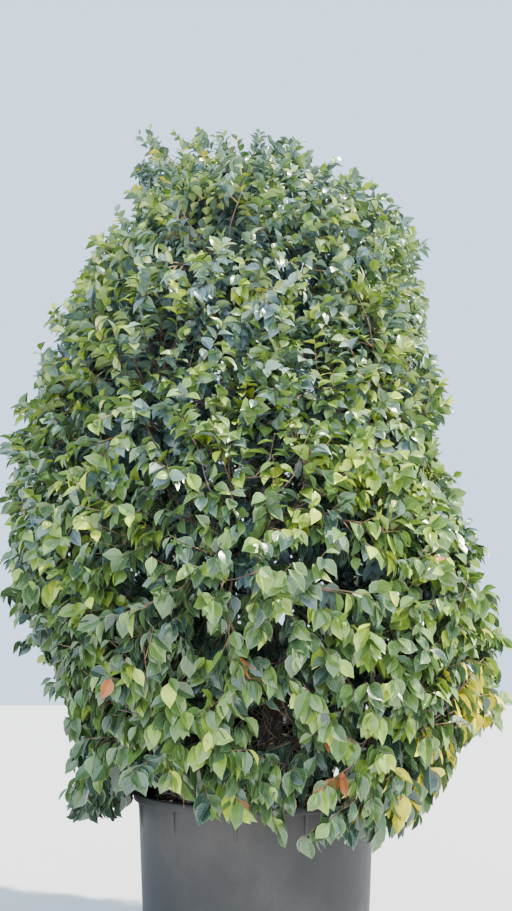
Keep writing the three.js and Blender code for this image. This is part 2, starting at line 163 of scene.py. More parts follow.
# Boughs, stems, twigs and shoots
BOUGH_RADIUS = 0.019
BOUGH_SHARE = 0.5
STEM_SHARE = 0.7
STEM_END_SHARE = 0.5
BOUGH_COLLAR = 0.6
COLLAR_LENGTH = 0.4
BOUGH_STAGGER = 0.4
BEND_SHARE = 0.4
BEND_REACH = 0.62
TWIGS_PER_MASS = 7
SHOOTS_PER_TWIG = 4
FACING_SLOPE = 0.25
TWIG_CAP = 1.25
SHOOT_SPREAD = 0.5
MARCH_STEP = 0.008
MARCH_END = 2.0

# Twigs, shoots and sprigs: how thick they are, how far they go and how they bend
TWIG_RADII = (0.0062, 0.0036)
SHOOT_RADII = (0.0030, 0.0018)
SPRIG_RADII = (0.0026, 0.0011)
TWIG_SHARE = 0.62
TWIG_BEND = 0.5
SHOOT_SHARE = 0.84
SHOOT_SPAN = (0.35, 0.95)
SHOOT_BEND = 0.45

# The stations and sides of their tubes, and how many places of a sprig have to be
# clear of the tub
TWIG_MESH = (8, 6)
SHOOT_MESH = (7, 4)
SPRIG_MESH = (3, 3)
SPRIG_PLACES = 7

# Long stems that leave the heart and climb just under the leaves
RISERS_PER_MASS = 2
RISER_RADII = (0.0050, 0.0018)
RISER_END = 0.90
RISER_BULGE = 1.02
RISER_LEAN = (0.25, 0.75)
RISER_OUT = 0.75
RISER_UP = 0.95
RISER_LOW_LEAN = 0.35
RISER_DROP = 0.25
RISER_STATIONS = 16
RISER_SIDES = 5
RISER_BARE_FROM = 9
RISER_THINNING = 0.55
RISER_CLEARING = 0.050
RISER_CLEARING_RISE = 0.03
RISER_WOBBLE = 0.016
WOBBLE_WAVES = (11, 19)
QUICK_SHARE = 0.7

# Dead twigs that loop round the trunk. How they rise, fall and turn aside are shares
# of their reach, and where they root is a share of the trunk's radius
TANGLE_COUNT = 130
THICK_LOOPS = 16
THICK_SHARE = 2.2
TANGLE_HEIGHTS = (0.92, 1.46)
TANGLE_REACH = (0.10, 0.26)
TANGLE_RISE = (-0.4, 0.9)
TANGLE_FALL = (0.1, 0.9)
TANGLE_RADII = (0.0023, 0.0009)
TANGLE_MESH = (8, 3)
TANGLE_ROOT = 0.8
TANGLE_ASIDE = 0.7
TANGLE_CREST = 0.6
TANGLE_CREST_OUT = 0.3
TANGLE_END = 0.7
TANGLE_END_FALL = 0.6

# Sprays: finer twigs that grow from the nearest shoot, and the leaves that they
# bear, in layers from the outside in: how far apart the tips are, how deep they lie
# as shares of the reach, how long the leafy end is, and the fewest and most leaves
LAYERS = [
    {"name": "outer", "spacing": 0.112, "shares": (0.68, 0.97), "leafy": 0.235, "leaves": (9, 13)},
    {"name": "under", "spacing": 0.138, "shares": (0.56, 0.72), "leafy": 0.190, "leaves": (6, 9)},
    {"name": "deep", "spacing": 0.150, "shares": (0.26, 0.50), "leafy": 0.210, "leaves": (6, 8)},
]
SPRAY_WAYS = 2400
SPRAY_CAP = 1.95
OUTER_CAP = 1.75
SPRAY_LEAST_REACH = 0.10
SPRAY_INWARD = 0.16
SPRAY_STATIONS = np.linspace(0.25, 1.0, 8)
SIDE_DEPTH = 0.16
SIDE_DEEPEST = 0.4
SIDE_THINNING = 2.4
DIP_REACH = 0.36
DIP_CHANCE = 0.3
TOP_DIPS = 0.20
TOP_SPACING_SHARE = 0.77

# Patches where the crown dips, and where its top is ragged: how fine they are, seed
DIP_PATCHES = (20.0, 21)
RAGGED_PATCHES = (34.0, 22)

# Where a change with height starts, and over what height it goes on
CROWN_LEVELS = (1.0, 3.2)
RAGGED_HEIGHTS = (3.9, 0.5)
TOP_HEIGHTS = (4.0, 0.4)
SPREAD_HEIGHTS = (1.35, 1.4)

# Leaders stand out of the crown: their share low down and what is added at the top,
# how far they rise and stand out, and how far their leaves may leave the mass
LEADER_SHARE = 0.13
LEADER_LOW = 0.6
LEADER_TOP = 2.2
LEADER_RISE = 0.040
LEADER_PUSH = 0.040
LEADER_MARGIN = 0.180
SPIKE_RISE = 0.064

# How a spray turns to the sky at its tip: low down, added higher up and how soon, by
# chance, added for a leader, and the least and most; and how its twig bends there
SKYWARD = 0.05
SKYWARD_HIGH = 1.6
SKYWARD_PACE = 2.0
SKYWARD_CHANCE = 0.45
SKYWARD_LEADER = 0.9
SKYWARD_BOUNDS = (-0.4, 2.8)
SPRIG_START = 0.4
SPRIG_END = 0.45
SPRIG_BEND = 0.6

# Leaves: length, width as a share of it, how they bend, fold and curl, and shares of
# their length at the top, inside and at a spray's young tip
LEAF_LENGTH = (0.080, 0.108)
LEAF_WIDTH = (0.50, 0.65)
LEAF_BEND = (0.05, 0.40)
LEAF_FOLD = (0.15, 0.70)
LEAF_CURL = (-0.25, 0.25)
TOP_LEAF_SHARE = 0.70
DEEP_LEAF_SHARE = 1.55
YOUNG_LEAVES = 2
YOUNG_LENGTH = (0.62, 0.95)

# From which height leaves take a simpler outline, how much of a short sprig may bear
# them, how uneven their steps are, and how far they may leave the mass
FAR_HEIGHT = 2.5
SHORTEST_SPRIG = 0.05
MOST_LEAFY = 0.85
LEAF_JITTER = 0.15
LEAF_MARGIN = 0.014

# How leaves stand on a spray, as shares along the twig, aside, outwards and down. A
# pair is what holds low down, where they hang, and what is added where they spread
LEAF_ONWARD = (0.20, 0.40)
LEAF_ASIDE = (0.62, 0.18)
LEAF_OUTWARD = 0.20
LEAF_DROOP = (0.50, 1.45)
DROOP_LOSS = 0.80
LEADER_DROOP_LOSS = 0.35
LEAF_TO_SKY = (0.35, 0.85)
SIDE_TO_SKY = 0.3
SIDE_CHANCE = 0.05
FACE_CHANCE = 0.52
TURN_CHANCE = 0.40
SPREAD_BEND = 0.25

# The most triangles of a piece, and the room that leaves keep to the tub
MOST_TRIANGLES = 190000
TUB_CLEARANCE = 0.006


# Arrays

def unit(vectors):
    return vectors / np.maximum(np.linalg.norm(vectors, axis=-1, keepdims=True), 1e-9)


def dot(a, b):
    return np.sum(a * b, axis=-1, keepdims=True)


def mix(a, b, share):
    return a + (b - a) * share


def ramped(values, start, over):
    """0 up to a start, then straight up to 1 over a span."""
    return np.clip((values - start) / over, 0, 1)


def only(group, chosen):
    """The chosen ones of a group of arrays."""
    return {key: values[chosen] for key, values in group.items()}


def bezier(points, t):
    """Places along quadratic curves, whose three points are on the last axis but one."""
    a, b, c = np.moveaxis(points, -2, 0)
    return (1 - t) ** 2 * a + 2 * t * (1 - t) * b + t ** 2 * c


def curves(points, count):
    """Evenly timed places along each curve: (curves, count, 3)."""
    return bezier(points[:, None], np.linspace(0, 1, count)[None, :, None])


def at_curves(points, t):
    """One place on each curve."""
    return bezier(points, t[:, None])


def tangents_at(points, t):
    t = t[:, None]
    return unit(2 * (1 - t) * (points[:, 1] - points[:, 0]) + 2 * t * (points[:, 2] - points[:, 1]))


# The source's rule

def seeded_random(seed):
    """The source's generator of random numbers between 0 and 1."""
    state = seed

    def draw():
        nonlocal state
        state = (state + 0x6D2B79F5) & 0xFFFFFFFF
        mixed = ((state ^ (state >> 15)) * (1 | state)) & 0xFFFFFFFF
        mixed = ((mixed + (((mixed ^ (mixed >> 7)) * (61 | mixed)) & 0xFFFFFFFF)) & 0xFFFFFFFF) ^ mixed
        return (mixed ^ (mixed >> 14)) / 4294967296

    return draw


def crown_reach(z, bearing):
    left = np.interp(z, CROWN[:, 0], CROWN[:, 1])
    right = np.interp(z, CROWN[:, 0], CROWN[:, 2])
    return (left + right) / 2 + (right - left) / 2 * np.cos(bearing)


def trunk_at(z):
    """The trunk's middle at a height, straight between the places of its line."""
    x = np.interp(z, TRUNK_LINE[:, 2], TRUNK_LINE[:, 0])
    y = np.interp(z, TRUNK_LINE[:, 2], TRUNK_LINE[:, 1])
    return np.stack([x, y, np.asarray(z, float)], axis=-1)


def trunk_radius(z):
    height = np.maximum(0, z - SOIL_TOP)
    share = (z - SOIL_TOP) / (TRUNK_LINE[-1, 2] - SOIL_TOP)
    return mix(TRUNK_RADIUS, TRUNK_TIP_RADIUS, share) + ROOT_FLARE * np.exp(-height / ROOT_FLARE_HEIGHT)


def place_masses():
    masses = []
    for level, (tier, z, count, share, first, rise) in enumerate(TIERS):
        for i in range(count):
            bearing = math.radians(first + 360 * i / count)
            reach = share * crown_reach(z, bearing)
            masses.append({
                "name": f"{tier}_{i + 1}",
                "seed": 100 * (level + 1) + i,
                "bearing": bearing,
                "heart": np.array([reach * math.cos(bearing), reach * math.sin(bearing), z]),
                "rise": rise * (1 + BOUGH_STAGGER * ((2 * i) % count) / count),
            })
    masses.append({"name": "top", "seed": 900, "bearing": 0.0, "heart": TOP_HEART, "rise": 0.0})
    return masses


masses = place_masses()
hearts = np.array([mass["heart"] for mass in masses])


def room_in(mass, places):
    """How far places lie inside the space of a mass: negative where they are outside."""
    others = hearts[np.linalg.norm(hearts - mass["heart"], axis=1) > 1e-6]
    between = others - mass["heart"]
    length = np.linalg.norm(between, axis=1)
    middles = (others + mass["heart"]) / 2
    past = (places @ between.T - np.sum(middles * between, axis=1)) / length
    side = np.min(-past, axis=-1) + SIDE_OVERLAP
    x, y, z = places[..., 0], places[..., 1], places[..., 2]
    radial = np.hypot(x, y)
    bearing = np.arctan2(y, x)
    notch = NOTCH_DEPTH * np.maximum(0, 1 - side / NOTCH_WIDTH) ** 2
    crown = crown_reach(z, bearing) - notch - radial
    top = CROWN[-1, 0] - z - CREST_SLOPE * np.abs(y)
    axis = trunk_at(z)
    from_trunk = np.hypot(x - axis[..., 0], y - axis[..., 1])
    shaft = np.maximum(from_trunk - SHAFT_RADIUS, z - SHAFT_TOP)
    pot = np.maximum(z - POT_HEIGHT - POT_MARGIN, radial - RIM_RADIUS - POT_MARGIN)
    opening = np.sqrt((x - WINDOW_X) ** 2 + (z - WINDOW_Z) ** 2 + np.maximum(0, y) ** 2) - WINDOW_RADIUS
    hang = z - np.interp(np.degrees(bearing), HANG[:, 0], HANG[:, 1])
    return np.minimum.reduce([side, crown, top, shaft, pot, hang, opening])


def reach_of(mass, directions):
    """How far the space of a mass goes from its heart in each direction."""
    reach = np.zeros(len(directions))
    going = np.ones(len(directions), bool)
    distance = MARCH_STEP
    while distance < MARCH_END and going.any():
        places = mass["heart"] + directions[going] * distance
        inside = room_in(mass, places) >= 0
        index = np.flatnonzero(going)
        reach[index[inside]] = distance
        going[index[~inside]] = False
        distance += MARCH_STEP
    return reach


def facing(mass):
    """The direction in which a mass faces: away from the trunk and a little upwards."""
    if mass["name"] == "top":
        return UP
    out = mass["heart"] - trunk_at(mass["heart"][2])
    out[2] = FACING_SLOPE * np.linalg.norm(out[:2])
    return unit(out)


def level_side(mass):
    """The level way across a mass, at right angles to its bearing."""
    return np.array([-math.sin(mass["bearing"]), math.cos(mass["bearing"]), 0.0])


def spiral(mass, count, cap, phase):
    """A golden spiral of directions over the side that faces out."""
    out = facing(mass)
    side = level_side(mass)
    side = unit(side - dot(side, out) * out)
    rest = np.cross(out, side)
    i = np.arange(count)
    forward = 1 - (i + 0.5) / count * cap
    around = np.sqrt(1 - forward ** 2)
    turn = phase + i * GOLDEN_ANGLE
    return unit(forward[:, None] * out + (around * np.cos(turn))[:, None] * side
                + (around * np.sin(turn))[:, None] * rest)


def shoot_directions(mass, twig_directions):
    """Four shoots round each twig, as the source has them."""
    draw = seeded_random(mass["seed"] + 50)
    shoots = []
    for direction in twig_directions:
        side = unit(np.cross(direction, UP))
        rest = np.cross(side, direction)
        phase = 2 * math.pi * draw()
        for i in range(SHOOTS_PER_TWIG):
            turn = phase + 2 * math.pi * i / SHOOTS_PER_TWIG
            spread = SHOOT_SPREAD * (math.cos(turn) * side + math.sin(turn) * rest)
            shoots.append(unit(direction + spread))
            draw()
    return np.array(shoots)


def bough_line(mass):
    """The three points of the line of a bough and its mass's stem: out of the trunk, up, into the heart."""
    heart = mass["heart"]
    if mass["name"] == "top":
        tip = TRUNK_LINE[-1]
        onward = BEND_SHARE * np.linalg.norm(heart - tip)
        return np.array([tip, tip + onward * unit(TRUNK_LINE[-1] - TRUNK_LINE[-2]), heart])
    out = np.array([math.cos(mass["bearing"]), math.sin(mass["bearing"]), 0.0])
    bend = trunk_at(heart[2] - BEND_SHARE * mass["rise"]) + BEND_REACH * SHAFT_RADIUS * out
    return np.array([trunk_at(heart[2] - mass["rise"]), bend, heart])


def bough_girth(mass):
    return min(BOUGH_RADIUS, BOUGH_SHARE * trunk_radius(mass["heart"][2] - mass["rise"]))


# Meshes of many small things

def in_scene(name, data):
    """An object of its own for a mesh, a camera or a light."""
    thing = bpy.data.objects.new(name, data)
    bpy.context.scene.collection.objects.link(thing)
    return thing


def object_from(name, vertices, faces, material, smooth=True, uvs=None):
    """A mesh in the scene, with the leaf coordinates of its vertices where it has any."""
    mesh = bpy.data.meshes.new(name)
    mesh.from_pydata(vertices, [], faces)
    mesh.polygons.foreach_set("use_smooth", np.full(len(faces), smooth))
    if uvs is not None:
        corners = uvs[np.ravel(faces)].astype(np.float32)
        mesh.uv_layers.new(name="leaf").data.foreach_set("uv", corners.ravel())
    mesh.update()
    mesh.materials.append(material)
    return in_scene(name, mesh)


class Pile:
    """Vertices, triangles and leaf coordinates of many small things, joined into few pieces."""

    def __init__(self):
        self.parts = []

    def add(self, vertices, faces, uvs=None):
        """vertices: (things, corners, 3). faces: (triangles, 3), the same for each thing."""
        things, corners = vertices.shape[:2]
        if not self.parts or self.parts[-1]["triangles"] + things * len(faces) > MOST_TRIANGLES:
            self.parts.append({"vertices": [], "faces": [], "uvs": [], "count": 0, "triangles": 0})
        part = self.parts[-1]
        offsets = part["count"] + corners * np.arange(things)
        part["vertices"].append(vertices.reshape(-1, 3))
        part["faces"].append((faces[None] + offsets[:, None, None]).reshape(-1, 3))
        if uvs is not None:
            part["uvs"].append(np.tile(uvs, (things, 1)))
        part["count"] += things * corners
        part["triangles"] += things * len(faces)

    def pieces(self, name, material, smooth=True):
        """The pile's pieces, which are numbered where there are two or more."""
        pieces = []
        for i, part in enumerate(self.parts):
            label = name if len(self.parts) == 1 else f"{name}_{i + 1}"
            vertices, faces = np.concatenate(part["vertices"]), np.concatenate(part["faces"])
            uvs = np.concatenate(part["uvs"]) if part["uvs"] else None
            pieces.append(object_from(label, vertices, faces, material, smooth, uvs))
        return pieces


def ring_turns(sides):
    return 2 * np.pi * np.arange(sides) / sides


def tube_rings(lines, radii, sides):
    """Rings of tubes along lines: (tubes, stations, sides, 3), with the ways that the rings face."""
    tangent = unit(np.gradient(lines, axis=1))
    chord = unit(lines[:, -1] - lines[:, 0])
    helper = np.where(np.abs(chord[:, 2:]) < 0.8, UP, EAST)[:, None]
    side = unit(np.cross(tangent, helper))
    rest = np.cross(side, tangent)
    turn = ring_turns(sides)
    way = np.cos(turn)[:, None] * side[:, :, None] + np.sin(turn)[:, None] * rest[:, :, None]
    return lines[:, :, None] + radii[:, :, None, None] * way, way


def tube_faces(stations, sides):
    """Triangles of a tube whose two ends are closed."""
    faces = []
    for i in range(stations - 1):
        for k in range(sides):
            a, b = i * sides + k, i * sides + (k + 1) % sides
            faces += [(a, a + sides, b), (b, a + sides, b + sides)]
    end = (stations - 1) * sides
    for k in range(1, sides - 1):
        faces += [(0, k, k + 1), (end, end + k + 1, end + k)]
    return np.array(faces)


def add_tubes(pile, lines, radii, sides, relief=None):
    """Tubes along lines, (tubes, stations, 3), with a relief that pushes their rings out."""
    rings, way = tube_rings(lines, radii, sides)
    if relief is not None:
        rings = rings + relief[None, :, :, None] * way
    tubes, stations = lines.shape[:2]
    pile.add(rings.reshape(tubes, stations * sides, 3), tube_faces(stations, sides))


def add_shoots(pile, points, radii, stations, sides):
    """Tapering tubes along quadratic curves."""
    taper = np.linspace(*radii, stations)[None] * np.ones((len(points), 1))
    add_tubes(pile, curves(points, stations), taper, sides)


# Leaves

# How far along a leaf each row of its blade lies, and how wide it is there: in the
# outer layer low down and higher up, and in the two inner layers
LEAF_ROWS = {
    "near": [(0.08, 0.20), (0.23, 0.76), (0.44, 1.0), (0.66, 0.84), (0.85, 0.36)],
    "far": [(0.12, 0.46), (0.34, 0.94), (0.60, 0.90), (0.84, 0.40)],
    "under": [(0.16, 0.52), (0.42, 0.98), (0.70, 0.74)],
    "deep": [(0.28, 0.84), (0.66, 0.80)],
}

# How a bend shortens a leaf and lowers its tip, and how its edges wave along it
BEND_SHORTENS = 0.25
BEND_LOWERS = 0.65
CURL_WAVE = 3


def leaf_template(leaf_rows):
    """A leaf's shares along and across, triangles and leaf coordinates, from its stalk to its tip.

    Each half has its own points on the midrib, so that the two meet in a crease.
    """
    rows = [(0.0, 0.0), *leaf_rows, (1.0, 0.0)]
    along, across, faces = [], [], []
    for side in (-1, 1):
        first = len(along)
        for t, width in rows:
            along += [t, t]
            across += [0.0, side * width]
        last = first + 2 * (len(rows) - 1)
        corners = [(first, first + 2, first + 3), (last - 2, last, last - 1)]
        for a in range(first + 2, last - 2, 2):
            corners += [(a, a + 2, a + 3), (a, a + 3, a + 1)]
        faces += [corner if side > 0 else corner[::-1] for corner in corners]
    along, across = np.array(along), np.array(across)
    u = np.where(across == 0, 0.5, 0.5 + 0.5 * np.sign(across))
    return along, across, np.array(faces), np.stack([u, along], axis=1)


LEAF_FORMS = {form: leaf_template(rows) for form, rows in LEAF_ROWS.items()}


def leaf_blades(template, leaves):
    """Vertices of leaves: each lies along its midrib, bent down to its tip and folded up from the midrib."""
    along = leaves["along"]
    across = unit(np.cross(leaves["face"], along))
    normal = np.cross(along, across)
    t = template[0][None, :, None]
    w = template[1][None, :, None]
    shape = [leaves[key][:, None, None] for key in ("length", "half", "bend", "fold", "curl")]
    length, half, bend, fold, curl = shape
    forward = length * t * (1 - BEND_SHORTENS * bend * t)
    lift = (fold * np.abs(w) * half - BEND_LOWERS * bend * length * t ** 2
            + curl * half * w * np.sin(CURL_WAVE * t))
    blades = leaves["roots"][:, None] + forward * along[:, None] + w * half * across[:, None]
    return blades + lift * normal[:, None]


# Where each kind of leaf grows

# Kinds of leaf: base colour, roughness. From deep to lime they run from dark to light green and are dealt
# out partly as painted shade and painted sunlight; lime also stands for painted sunlight through the leaves.
# Slate, haze, olive and pale take their place high up, bluer and greyer as painted haze
LEAF_LOOKS = {
    "deep": ((0.030, 0.064, 0.048), 0.15),
    "mid": ((0.066, 0.130, 0.048), 0.15),
    "fresh": ((0.116, 0.208, 0.044), 0.15),
    "bright": ((0.225, 0.340, 0.038), 0.16),
    "lime": ((0.440, 0.540, 0.042), 0.18),
    "olive": ((0.250, 0.345, 0.115), 0.16),
    "slate": ((0.082, 0.146, 0.158), 0.16),
    "haze": ((0.145, 0.238, 0.178), 0.16),
    "pale": ((0.480, 0.580, 0.195), 0.18),
    "yellow": ((0.900, 0.700, 0.020), 0.30),
    "rust": ((0.430, 0.120, 0.024), 0.45),
}
KINDS = list(LEAF_LOOKS)

# How light a spray's leaves are: by patches (how much, how fine, seed) and by chance; by the way
# it faces (up, to the right, to the back) and by a lighter band half-way up, as painted sunlight;
# and by a darker foot and by its depth in the crown, as painted shade
LIGHT_PATCHES = [(0.24, 6.0, 11), (0.26, 17.0, 12)]
LIGHT_CHANCE = 0.36
PAINTED_LIGHT_UP = 0.30
PAINTED_LIGHT_RIGHT = 0.20
PAINTED_LIGHT_BACK = -0.10
PAINTED_SUN_BAND = 0.46
BAND_HEIGHT = 2.3
BAND_SPREAD = 1.1
PAINTED_SHADE_FOOT = 0.30
FOOT_TOP = 1.8
FOOT_SPAN = 0.5
PAINTED_SHADE_INSIDE = 7.5
INSIDE_DEPTH = 0.08

# The light that a leaf has of its own, and the steps that part the first five kinds
YOUNG_LIGHT = 1.1
LEAF_LIGHT_CHANCE = 0.50
LIGHT_STEPS = [-0.50, 0.32, 1.04, 1.72]

# Kinds that take another's place high up, bluer and greyer there as painted haze: from which height, over
# what height, share
PAINTED_HAZE_KINDS = [
    ("deep", "slate", 1.5, 0.9, 0.97),
    ("mid", "haze", 1.6, 1.0, 0.92),
    ("fresh", "olive", 1.9, 1.1, 0.80),
    ("olive", "haze", 2.7, 1.2, 0.35),
    ("bright", "pale", 2.3, 1.2, 0.70),
    ("lime", "pale", 2.3, 1.2, 0.60),
]

# Where leaves turn yellow: the middle of the place, how far it reaches, and the most
# leaves that are yellow there
YELLOWS = [
    (np.array([0.72, -0.56, 0.99]), 0.17, 0.40),
    (np.array([0.91, -0.42, 1.19]), 0.18, 0.65),
    (np.array([-0.42, -0.25, 4.05]), 0.30, 0.12),
]
YELLOW_DEPTH = 0.14

# Where leaves are withered: the middle of each place, how far it reaches, and the
# share of withered leaves there
RUSTS = [
    (np.array([-0.51, -0.77, 1.31]), 0.080, 0.21),
    (np.array([0.01, -0.98, 1.34]), 0.080, 0.20),
    (np.array([0.26, -0.81, 0.97]), 0.090, 0.26),
    (np.array([-0.11, -0.80, 0.94]), 0.080, 0.22),
    (np.array([-0.33, -1.02, 2.49]), 0.070, 0.25),
    (np.array([-0.61, -0.63, 1.25]), 0.060, 0.14),
]
RUST_DEPTH = 0.12
RUST_SHARE = 0.0003


# Waves of a patchy field: how many, how fine as a share, and what their sum is divided by
WAVE_COUNT = 5
WAVE_FINENESS = (0.6, 1.6)
WAVE_SUM = 2.2


def patchiness(places, scale, seed):
    """A smooth field between about -1 and 1 over the crown."""
    draw = np.random.default_rng(seed)
    total = np.zeros(len(places))
    for _ in range(WAVE_COUNT):
        wave = unit(draw.normal(size=3)) * scale * draw.uniform(*WAVE_FINENESS)
        total += np.sin(places @ wave + draw.uniform(0, 2 * np.pi))
    return total / WAVE_SUM


def crown_depth(places):
    """How far places lie under the outside of the whole crown."""
    x, y, z = places.T
    depth = crown_reach(z, np.arctan2(y, x)) - np.hypot(x, y)
    return np.minimum(depth, CROWN[-1, 0] - z - CREST_SLOPE * np.abs(y))


def spray_tone_and_painted_light(places, outward):
    """How light each spray's leaves are: in patches and by chance, with painted shade inside the crown and
    low down, and painted sunlight where the sun reaches.
    """
    height = places[:, 2]
    light = sum(much * patchiness(places, scale, seed) for much, scale, seed in LIGHT_PATCHES)
    light = light + LIGHT_CHANCE * rng.normal(size=len(places))
    # Painted sunlight: sprays that face up and to the right are lighter, those that face back darker
    light += PAINTED_LIGHT_UP * outward[:, 2] + PAINTED_LIGHT_RIGHT * outward[:, 0] + PAINTED_LIGHT_BACK * outward[:, 1]
    # Painted sunlight in a band half-way up, and painted shade low down
    light += (PAINTED_SUN_BAND * np.exp(-((height - BAND_HEIGHT) / BAND_SPREAD) ** 2)
              - PAINTED_SHADE_FOOT * np.clip((FOOT_TOP - height) / FOOT_SPAN, 0, 1))
    # Painted shade: darker the deeper a spray lies in the crown
    light -= PAINTED_SHADE_INSIDE * np.maximum(0, crown_depth(places) - INSIDE_DEPTH)
    return light


def yellow_share(places, depth):
    """How many of the leaves are yellow at each place."""
    share = np.zeros(len(places))
    for place, reach, most in YELLOWS:
        share += most * np.exp(-np.sum((places - place) ** 2, axis=1) / reach ** 2)
    return np.where(depth < YELLOW_DEPTH, share, 0.0)


def rust_share(places, depth):
    """How many of the leaves are withered at each place."""
    share = np.full(len(places), RUST_SHARE)
    for place, reach, withered in RUSTS:
        share += withered * (np.linalg.norm(places - place, axis=1) < reach) * (depth < RUST_DEPTH)
    return share


def leaf_kinds(light, order, places):
    """Kinds of single leaves: by their spray's tone with its painted sunlight and shade and by their own,
    the young ones at its tip lighter, and bluer and greyer high up as painted haze.
    """
    total = len(light)
    young = np.where(order < YOUNG_LEAVES, rng.uniform(0.0, YOUNG_LIGHT, total), 0.0)
    kind = np.digitize(light + young + LEAF_LIGHT_CHANCE * rng.normal(size=total), LIGHT_STEPS)
    # Painted haze: high up, kinds give way to bluer, greyer ones
    for low_down, high_up, start, over, most in PAINTED_HAZE_KINDS:
        share = most * ramped(places[:, 2], start, over)
        kind[(kind == KINDS.index(low_down)) & (rng.random(total) < share)] = KINDS.index(high_up)
    depth = crown_depth(places)
    kind[rng.random(total) < yellow_share(places, depth)] = KINDS.index("yellow")
    kind[rng.random(total) < rust_share(places, depth)] = KINDS.index("rust")
    return kind


# The plant

rng = np.random.default_rng(7)
leaf_piles = {kind: Pile() for kind in KINDS}
twig_pile = Pile()
sprig_pile = Pile()
tangle_pile = Pile()


def clear_of_tub(blades):
    radial = np.hypot(blades[..., 0], blades[..., 1])
    inside = (radial < RIM_RADIUS + TUB_CLEARANCE) & (blades[..., 2] < POT_HEIGHT + TUB_CLEARANCE)
    return ~inside.any(axis=1)


def within_box(blades):
    """Whether leaves stay in the box that the whole may fill."""
    room = BOX_MARGIN * (BOX_HIGH - BOX_LOW) + BOX_SLACK
    return ((blades > BOX_LOW - room) & (blades < BOX_HIGH + room)).all(axis=(1, 2))


def toward(mass, ways, share):
    """Places a share of the way from a mass's heart to its outside."""
    return mass["heart"] + share * reach_of(mass, ways)[:, None] * ways


def from_heart(mass, bends, ends):
    """Curves from a mass's heart, by their middle points and their ends."""
    return np.stack([np.tile(mass["heart"], (len(ends), 1)), bends, ends], axis=1)


def grow_twigs(mass, ways, start):
    """Twigs from the heart out, bent from the stem's way to their own."""
    reach = reach_of(mass, ways)[:, None]
    bends = mass["heart"] + TWIG_BEND * TWIG_SHARE * reach * start
    return from_heart(mass, bends, mass["heart"] + TWIG_SHARE * reach * ways)


def grow_shoots(mass, twigs, ways):
    """Shoots that leave their twig part of the way along it."""
    parents = np.repeat(np.arange(TWIGS_PER_MASS), SHOOTS_PER_TWIG)
    leave_at = np.tile(np.linspace(*SHOOT_SPAN, SHOOTS_PER_TWIG), TWIGS_PER_MASS)
    roots = at_curves(twigs[parents], leave_at)
    onward = tangents_at(twigs[parents], leave_at)
    ends = toward(mass, ways, SHOOT_SHARE)
    gap = np.linalg.norm(ends - roots, axis=1, keepdims=True)
    return np.stack([roots, roots + SHOOT_BEND * gap * onward, ends], axis=1)


def grow_risers(mass):
    """Stems that bulge out from the heart to just under the leaves, and climb there."""
    out = facing(mass)
    side = level_side(mass)
    lean = rng.uniform(*RISER_LEAN, RISERS_PER_MASS) * np.where(np.arange(RISERS_PER_MASS) % 2, -1, 1)
    ways = unit(RISER_OUT * out + lean[:, None] * side + RISER_UP * UP)
    low_ways = unit(out + RISER_LOW_LEAN * lean[:, None] * side - RISER_DROP * UP)
    return from_heart(mass, toward(mass, low_ways, RISER_BULGE), toward(mass, ways, RISER_END))


def wandering(lines):
    """Lines bent to and fro between their ends, each in its own way."""
    t = np.linspace(0, 1, lines.shape[1])[None, :, None]
    across = unit(rng.normal(size=(len(lines), 1, 3)))
    rest = unit(rng.normal(size=(len(lines), 1, 3)))
    phase = rng.uniform(0, 2 * np.pi, (len(lines), 2, 1, 1))
    slow, quick = WOBBLE_WAVES
    swing = np.sin(slow * t + phase[:, 0]) * across + QUICK_SHARE * np.sin(quick * t + phase[:, 1]) * rest
    return lines + RISER_WOBBLE * np.sin(np.pi * t) * swing


def spread_out(places, spacing):
    """Places in a random order, none nearer to one before it than its spacing."""
    chosen = []
    kept = np.empty((len(places), 3))
    for i in rng.permutation(len(places)):
        near = kept[:len(chosen)] - places[i]
        if not len(chosen) or np.min(np.einsum("ij,ij->i", near, near)) > spacing[i] ** 2:
            kept[len(chosen)] = places[i]
            chosen.append(i)
    return np.array(chosen)


def grow_mass(mass):
    line = bough_line(mass)
    phase = 2 * math.pi * seeded_random(mass["seed"])()
    twig_ways = spiral(mass, TWIGS_PER_MASS, TWIG_CAP, phase)
    twigs = grow_twigs(mass, twig_ways, unit(line[2] - line[1]))
    shoots = grow_shoots(mass, twigs, shoot_directions(mass, twig_ways))
    risers = grow_risers(mass)
    add_shoots(twig_pile, twigs, TWIG_RADII, *TWIG_MESH)
    add_shoots(twig_pile, shoots, SHOOT_RADII, *SHOOT_MESH)
    thinner = 1 - RISER_THINNING * ramped(mass["heart"][2], *CROWN_LEVELS)
    taper = thinner * np.linspace(*RISER_RADII, RISER_STATIONS)[None] * np.ones((len(risers), 1))
    add_tubes(twig_pile, wandering(curves(risers, RISER_STATIONS)), taper, RISER_SIDES)

    ways = spiral(mass, SPRAY_WAYS, SPRAY_CAP, phase + 1.0)
    reach = reach_of(mass, ways)
    ways, reach = ways[reach > SPRAY_LEAST_REACH], reach[reach > SPRAY_LEAST_REACH]
    outward = (ways @ facing(mass)) > 1 - OUTER_CAP
    for layer in LAYERS:
        chosen = outward | (layer["name"] == "deep")
        sprays = place_sprays(mass, layer, ways[chosen], reach[chosen])
        raise_leaders(mass, layer, sprays)
        if layer["name"] == "outer":
            sprays = clear_of_risers(sprays, risers)
        sprays = grow_sprigs(sprays, np.concatenate([shoots, risers]))
        grow_leaves(mass, layer, sprays)


